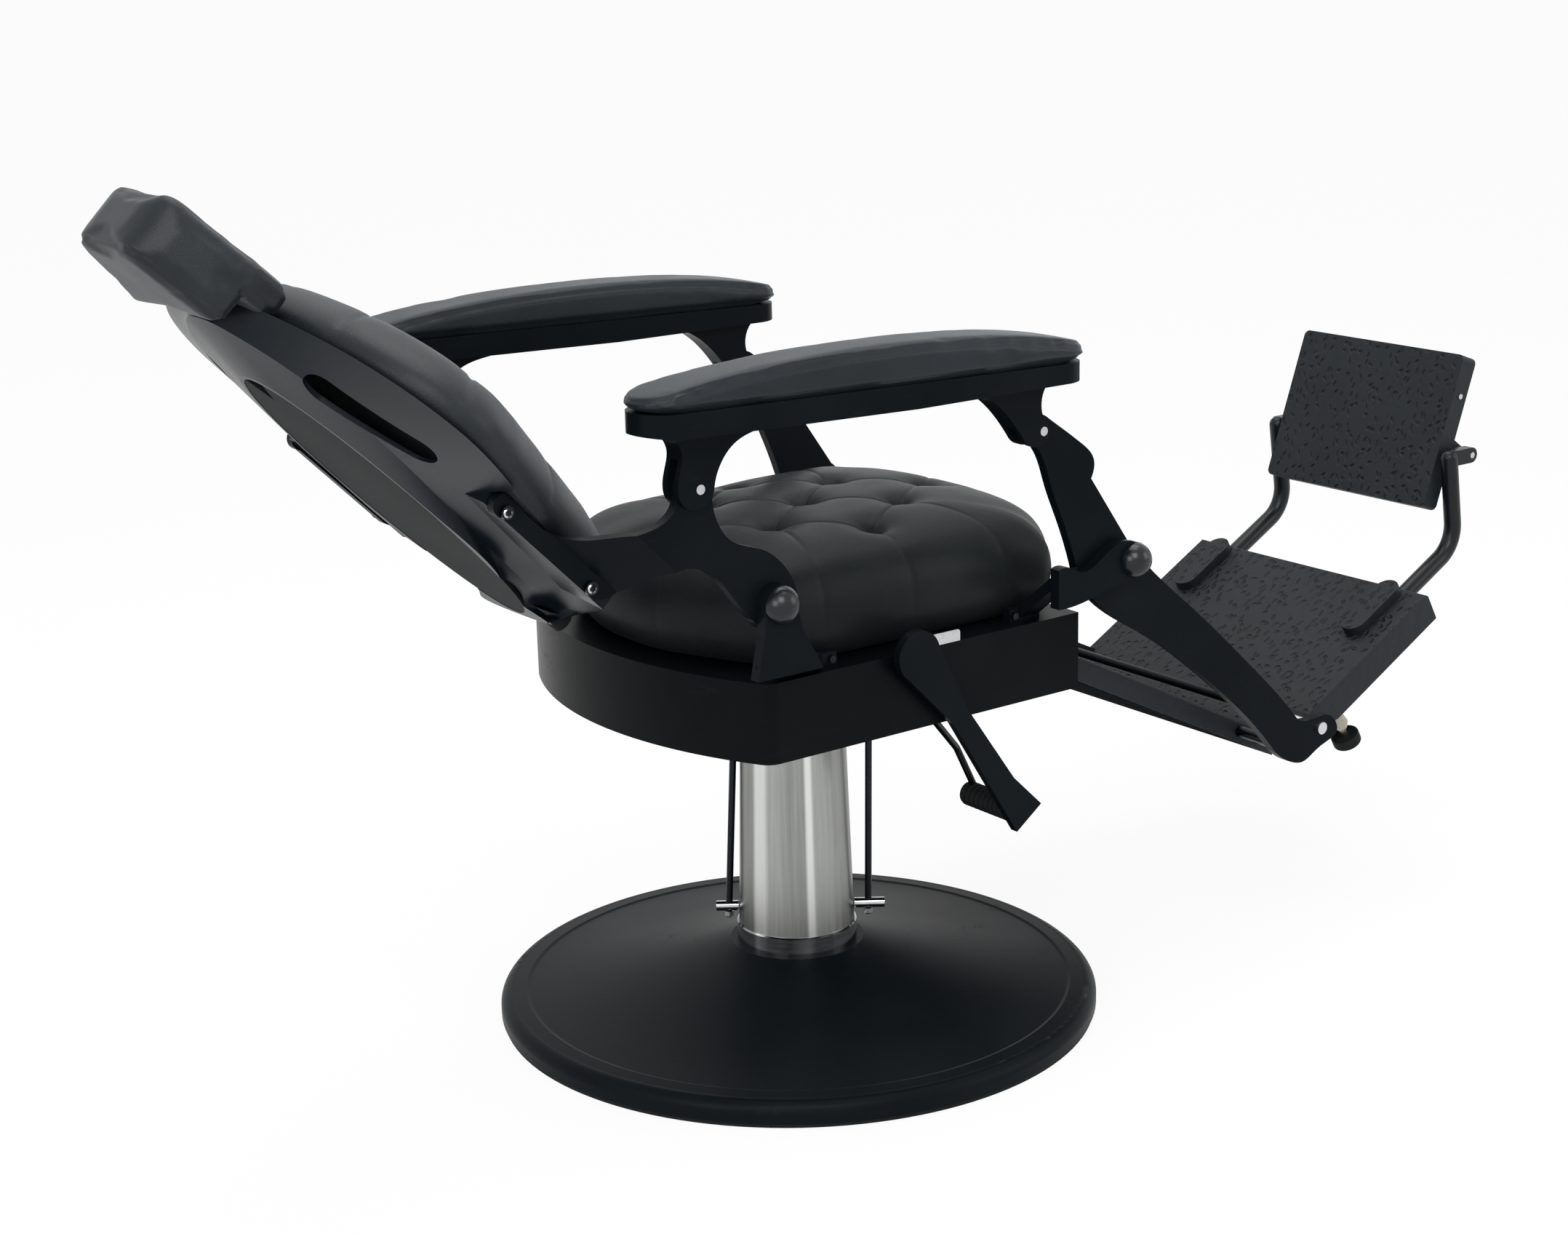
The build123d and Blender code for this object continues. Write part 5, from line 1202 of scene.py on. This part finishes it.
    def build(self) -> Object:
        """Makes the pad and its buttons.

        Returns:
            The pad.
        """
        pad = new_piece("back_cushion_leather", self.skin(), closed_skin(self.rings + 1, self.around))
        self.palette.cover(pad, Look.BACK_LEATHER)
        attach(pad, "backrest")
        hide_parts("back_cushion")
        self.add_buttons()
        return pad

    def add_buttons(self) -> None:
        """Puts a leather button in each dip of the middle."""
        spots = np.array(self.buttons())
        shares = np.hypot(spots[:, 0], spots[:, 1] - self.middle) / self.button_reach
        level = np.array([self.level(min(share, self.last_share)) - self.button_sink for share in shares])
        tree = button_tree(self.palette.get(Look.BACK_LEATHER))
        buttons = tree.run("back_button_caps", on_back(spots[:, 0], spots[:, 1], level),
                           [(0.0, -HALF_TURN, HALF_TURN)] * len(spots),
                           radius=self.button_radius, flatness=self.button_flatness)
        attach(buttons, "backrest")


@dataclass
class SewnPad:
    """A pad made from its firm core: softened, blown up and sewn along the core's edges."""

    palette: Palette
    node: str
    name: str
    body: str
    voxel: float = 0.004
    soften: int = 8
    pressure: float = 4.0
    cap: float = 0.003
    calm: int = 5
    seam_width: float = 0.0024
    seam_depth: float = 0.0022
    seam_offset: float = 0.0012
    least_angle: float = math.radians(28.0)
    look: Look = Look.PAD_LEATHER

    def smooth(self, pad: Object, name: str, times: int) -> None:
        """Adds a modifier that evens the skin out the given number of times."""
        made = pad.modifiers.new(name, "SMOOTH")
        made.factor = 0.5
        made.iterations = times

    def build(self) -> Object:
        """Makes the pad in the place of its core.

        Returns:
            The pad.
        """
        pad = merged_copy(self.node, self.name)
        edges = sharp_points(pad, self.least_angle)
        remesh = pad.modifiers.new("skin", "REMESH")
        remesh.mode = "VOXEL"
        remesh.voxel_size = self.voxel
        self.smooth(pad, "round", self.soften)
        keep_evaluated(pad)
        swell(pad, self.pressure, self.cap)
        self.smooth(pad, "calm", self.calm)
        finer = pad.modifiers.new("finer", "SUBSURF")
        finer.levels = finer.render_levels = 1
        keep_evaluated(pad)
        self.sew(pad, edges)
        self.palette.cover(pad, self.look)
        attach(pad, self.body)
        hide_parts(self.node)
        return pad

    def sew(self, pad: Object, edges: KDTree) -> None:
        """Presses a seam into the skin, measured past the depth that the edge was rounded off by.

        Args:
            pad: the pad.
            edges: points along the core's sharp edges.
        """
        rows, facing = corners_of(pad), normals_of(pad)
        away = np.array([edges.find(tuple(row))[2] for row in rows])
        line = np.maximum(0.0, away - np.quantile(away, 0.02) - self.seam_offset)
        set_corners(pad, rows - facing * (self.seam_depth * crease(line, self.seam_width))[:, None])
        pad.data.polygons.foreach_set("use_smooth", [True] * len(pad.data.polygons))


# ------------------------------------------------------------------ hard parts
Finishes = tuple[tuple[Look, str], ...]


@dataclass
class SubAssembly:
    """A group of CAD nodes with a finish for each."""

    palette: Palette
    finishes: Finishes = ()

    def dress(self) -> None:
        """Gives the nodes, named with spaces between them, their finishes."""
        for look, nodes in self.finishes:
            self.palette.paint(look, *nodes.split())


@dataclass
class BaseAndLift(SubAssembly):
    """Round base, steel column and the pump yoke beside it."""

    finishes: Finishes = (
        (Look.BASE_PAINT, "base_plate"),
        (Look.RUBBER, "floor_gasket piston_seal"),
        (Look.COLLAR_CHROME_PAINTED_REFLECTION, "column_collar"),
        (Look.CHROME, "yoke_shoes piston_rod"),
        (Look.BRUSHED_PAINTED_REFLECTION, "column_cover"),
        (Look.DARK_STEEL, "pump_cylinder cylinder_gland base_bolts yoke_bar yoke_rods"),
        (Look.ZINC, "yoke_nuts"),
        (Look.BRASS, "thrust_washer"),
    )


@dataclass
class SeatPan(SubAssembly):
    """Seat pan with its standing brackets, pins and the pump lever."""

    finishes: Finishes = (
        (Look.PAN_PAINT, "seat_skirt seat_deck mounting_plate"),
        (Look.CASTING_PAINT, "rear_stanchion_right rear_stanchion_left front_stanchion_right front_stanchion_left"),
        (Look.DOME_PAINT, "dome_caps"),
        (Look.ZINC, "pivot_pins mount_bolts"),
        (Look.DARK_STEEL, "stanchion_screws lever_rod"),
        (Look.CHROME, "steel_tab"),
        (Look.BRASS, "lever_bearing"),
        (Look.LEVER_PAINT, "lever_bar"),
        (Look.RUBBER, "lever_grip"),
    )
    grip_rings: int = 9
    rib_rise: float = 0.0011
    rib_width: float = 0.0042
    inner_margin: float = 0.009
    outer_margin: float = 0.005

    def dress(self) -> None:
        """Gives the parts their finishes and puts rubber ribs round the lever's grip."""
        super().dress()
        low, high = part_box("lever_grip")
        across = np.linspace(low[0] + self.inner_margin, high[0] - self.outer_margin, self.grip_rings)
        places = [(x, (low[1] + high[1]) / 2, (low[2] + high[2]) / 2) for x in across]
        tree = stud_tree(self.palette.get(Look.RUBBER), "grip_ribs", 28)
        ribs = tree.run("lever_grip_ribs", places, [(1, 0, 0)] * len(places),
                        radius=(high[2] - low[2]) / 2 + self.rib_rise, height=self.rib_width)
        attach(ribs, "pump_lever")


@dataclass
class Backrest(SubAssembly):
    """Back shell with its side castings, bolts and the headrest's slide."""

    finishes: Finishes = (
        (Look.SHELL_PLASTIC, "back_shell"),
        (Look.PANEL_PLASTIC, "back_panel"),
        (Look.CASTING_PAINT, "back_casting_right back_casting_left"),
        (Look.DARK_STEEL, "casting_bolts headrest_guide"),
        (Look.RUBBER, "back_bumper"),
        (Look.ZINC, "headrest_post headrest_plate"),
    )

    def dress(self) -> None:
        """Gives the parts their finishes and puts on each bolt a painted highlight, a bright zinc ring, and painted
        shade, a dark rubber hex in its socket.
        """
        super().dress()
        corners = corners_of(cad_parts["casting_bolts"])
        places, facing = [], []
        for side in (-1.0, 1.0):
            own = corners[corners[:, 0] * side > 0]
            face = own[np.abs(own[:, 0]).max() - np.abs(own[:, 0]) < 1e-4]
            split = np.median(face[:, 2])
            for group in (face[face[:, 2] > split], face[face[:, 2] <= split]):
                places.append((group.min(axis=0) + group.max(axis=0)) / 2)
                facing.append((side, 0.0, 0.0))
        # a bright zinc ring is a painted highlight on each dark bolt, and a black rubber hex over the socket is
        # painted shade
        for name, look, sides, radius, height in (
            ("casting_bolt_rims", Look.ZINC, 32, 0.0052, 0.0008),
            ("casting_bolt_wells", Look.RUBBER, 6, 0.0034, 0.0014),
        ):
            tree = stud_tree(self.palette.get(look), name, sides)
            made = tree.run(name, places, facing, radius=radius, height=height)
            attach(made, "backrest")


@dataclass
class Armrests(SubAssembly):
    """Both arm frames with their pins."""

    finishes: Finishes = (
        (Look.CASTING_PAINT, "arm_frame_right arm_frame_left"),
        (Look.CHROME, "arm_pins_right arm_pins_left"),
    )


@dataclass
class LegAndFootrest(SubAssembly):
    """Leg castings, calf plate, footrest, its tubes, feet and the flip plate."""

    finishes: Finishes = (
        (Look.CASTING_PAINT, "leg_casting_right leg_casting_left"),
        (Look.CALF_TREAD, "calf_plate"),
        (Look.FOOT_TREAD, "foot_plate"),
        (Look.STEP_TREAD, "step_plate"),
        (Look.DARK_STEEL, "calf_stays"),
        (Look.TUBE_PAINT, "foot_tubes"),
        (Look.AXLE, "footrest_axle"),
        (Look.CHROME, "step_pins"),
        (Look.STEM_STEEL, "levelling_feet"),
        (Look.RUBBER, "levelling_pads"),
    )


# ------------------------------------------------------------------ studio
@dataclass
class Studio:
    """Floor, lamps, world and camera."""

    lens: float = 63.0108
    sensor: float = 36.0
    eye: Point = (-2.4242425, 1.7866459, 1.300165)
    right: Point = (-0.5963626, -0.8023923, -0.0227648)
    up: Point = (0.2039351, -0.1788781, 0.9625035)
    ahead: Point = (0.7763776, -0.5693585, -0.2703122)
    floor_half: float = 60.0
    floor_drop: float = 0.0006
    ambient: float = 0.75
    aim: Point = (0.0, -0.1, 0.5)
    lamps: tuple[tuple[str, Point, float, float], ...] = (
        ("key_softbox", (-2.6, 1.6, 3.2), 1.9, 62.0),
        ("top_softbox", (0.4, -0.6, 3.6), 2.4, 48.0),
        ("back_strip", (-1.4, 3.4, 1.9), 1.6, 34.0),
        ("front_fill", (-2.8, -3.0, 2.0), 2.0, 26.0),
    )

    def build(self) -> None:
        """Makes the whole studio."""
        self.add_floor()
        self.add_world()
        for lamp in self.lamps:
            self.add_lamp(*lamp)
        self.add_camera()
        bpy.context.scene.view_settings.view_transform = "Standard"

    def add_floor(self) -> None:
        """Lays a wide pale floor just under the base."""
        reach, level = self.floor_half, -self.floor_drop
        corners = [(-reach, -reach, level), (reach, -reach, level), (reach, reach, level), (-reach, reach, level)]
        floor = new_piece("studio_floor", corners, [(0, 1, 2, 3)], smooth=False)
        floor.data.materials.append(Ground().build())

    def add_world(self) -> None:
        """Makes a white surround that lights the chair at a plain level."""
        world = bpy.data.worlds.new("studio_world")
        bpy.context.scene.world = world
        world.use_nodes = True
        graph = Graph(world.node_tree)
        plain, white = (
            graph.node("ShaderNodeBackground", {"Color": WHITE, "Strength": strength}).outputs[0]
            for strength in (self.ambient, 1.0)
        )
        mixed = graph.node("ShaderNodeMixShader", {0: graph.direct_rays(), 1: plain, 2: white})
        graph.node("ShaderNodeOutputWorld", {"Surface": mixed.outputs[0]})

    def add_lamp(self, name: str, place: Point, size: float, power: float) -> None:
        """Hangs a soft square lamp that faces the seat.

        Args:
            name: its name.
            place: where it hangs.
            size: its side, in metres.
            power: its power, in watts.
        """
        light = bpy.data.lights.new(name, "AREA")
        light.shape = "SQUARE"
        light.size = size
        light.energy = power
        turn = (Vector(self.aim) - Vector(place)).to_track_quat("-Z", "Y").to_matrix().to_4x4()
        link(name, light).matrix_world = Matrix.Translation(Vector(place)) @ turn

    def add_camera(self) -> None:
        """Sets the camera behind the chair's right side."""
        data = bpy.data.cameras.new("studio_camera")
        data.lens = self.lens
        data.sensor_width = self.sensor
        data.sensor_fit = "HORIZONTAL"
        columns = (self.right, self.up, tuple(-value for value in self.ahead), self.eye)
        rows = [[column[axis] for column in columns] for axis in range(3)] + [[0.0, 0.0, 0.0, 1.0]]
        camera = link("studio_camera", data)
        camera.matrix_world = Matrix(rows)
        bpy.context.scene.camera = camera


# ------------------------------------------------------------------ the whole chair
def report(step: str, make: Callable[[], object]) -> None:
    """Makes one piece and reports it."""
    made = make()
    faces = len(made.data.polygons) if isinstance(made, Object) else 0
    LOG.info("%s done, %d faces", step, faces)


def main() -> None:
    """Builds the studio and the chair's pieces in order."""
    logging.basicConfig(level=logging.INFO, format="%(name)s: %(message)s")
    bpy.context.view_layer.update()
    palette = Palette()
    report("studio", Studio().build)
    for part in (BaseAndLift, SeatPan, Backrest, Armrests, LegAndFootrest):
        report(part.__name__, part(palette).dress)
    report("seat cushion", SeatCushion(palette).build)
    report("back cushion", BackCushion(palette).build)
    report("headrest", SewnPad(
        palette, "headrest_cushion", "headrest_leather", "headrest", voxel=0.0036, soften=5, calm=6,
        seam_width=0.0019, look=Look.BACK_LEATHER,
    ).build)
    for hand in ("right", "left"):
        pad = SewnPad(palette, f"arm_pad_{hand}", f"arm_pad_leather_{hand}", f"armrest_{hand}")
        report(f"{hand} arm pad", pad.build)
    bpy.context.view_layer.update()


if __name__ == "__main__":
    main()
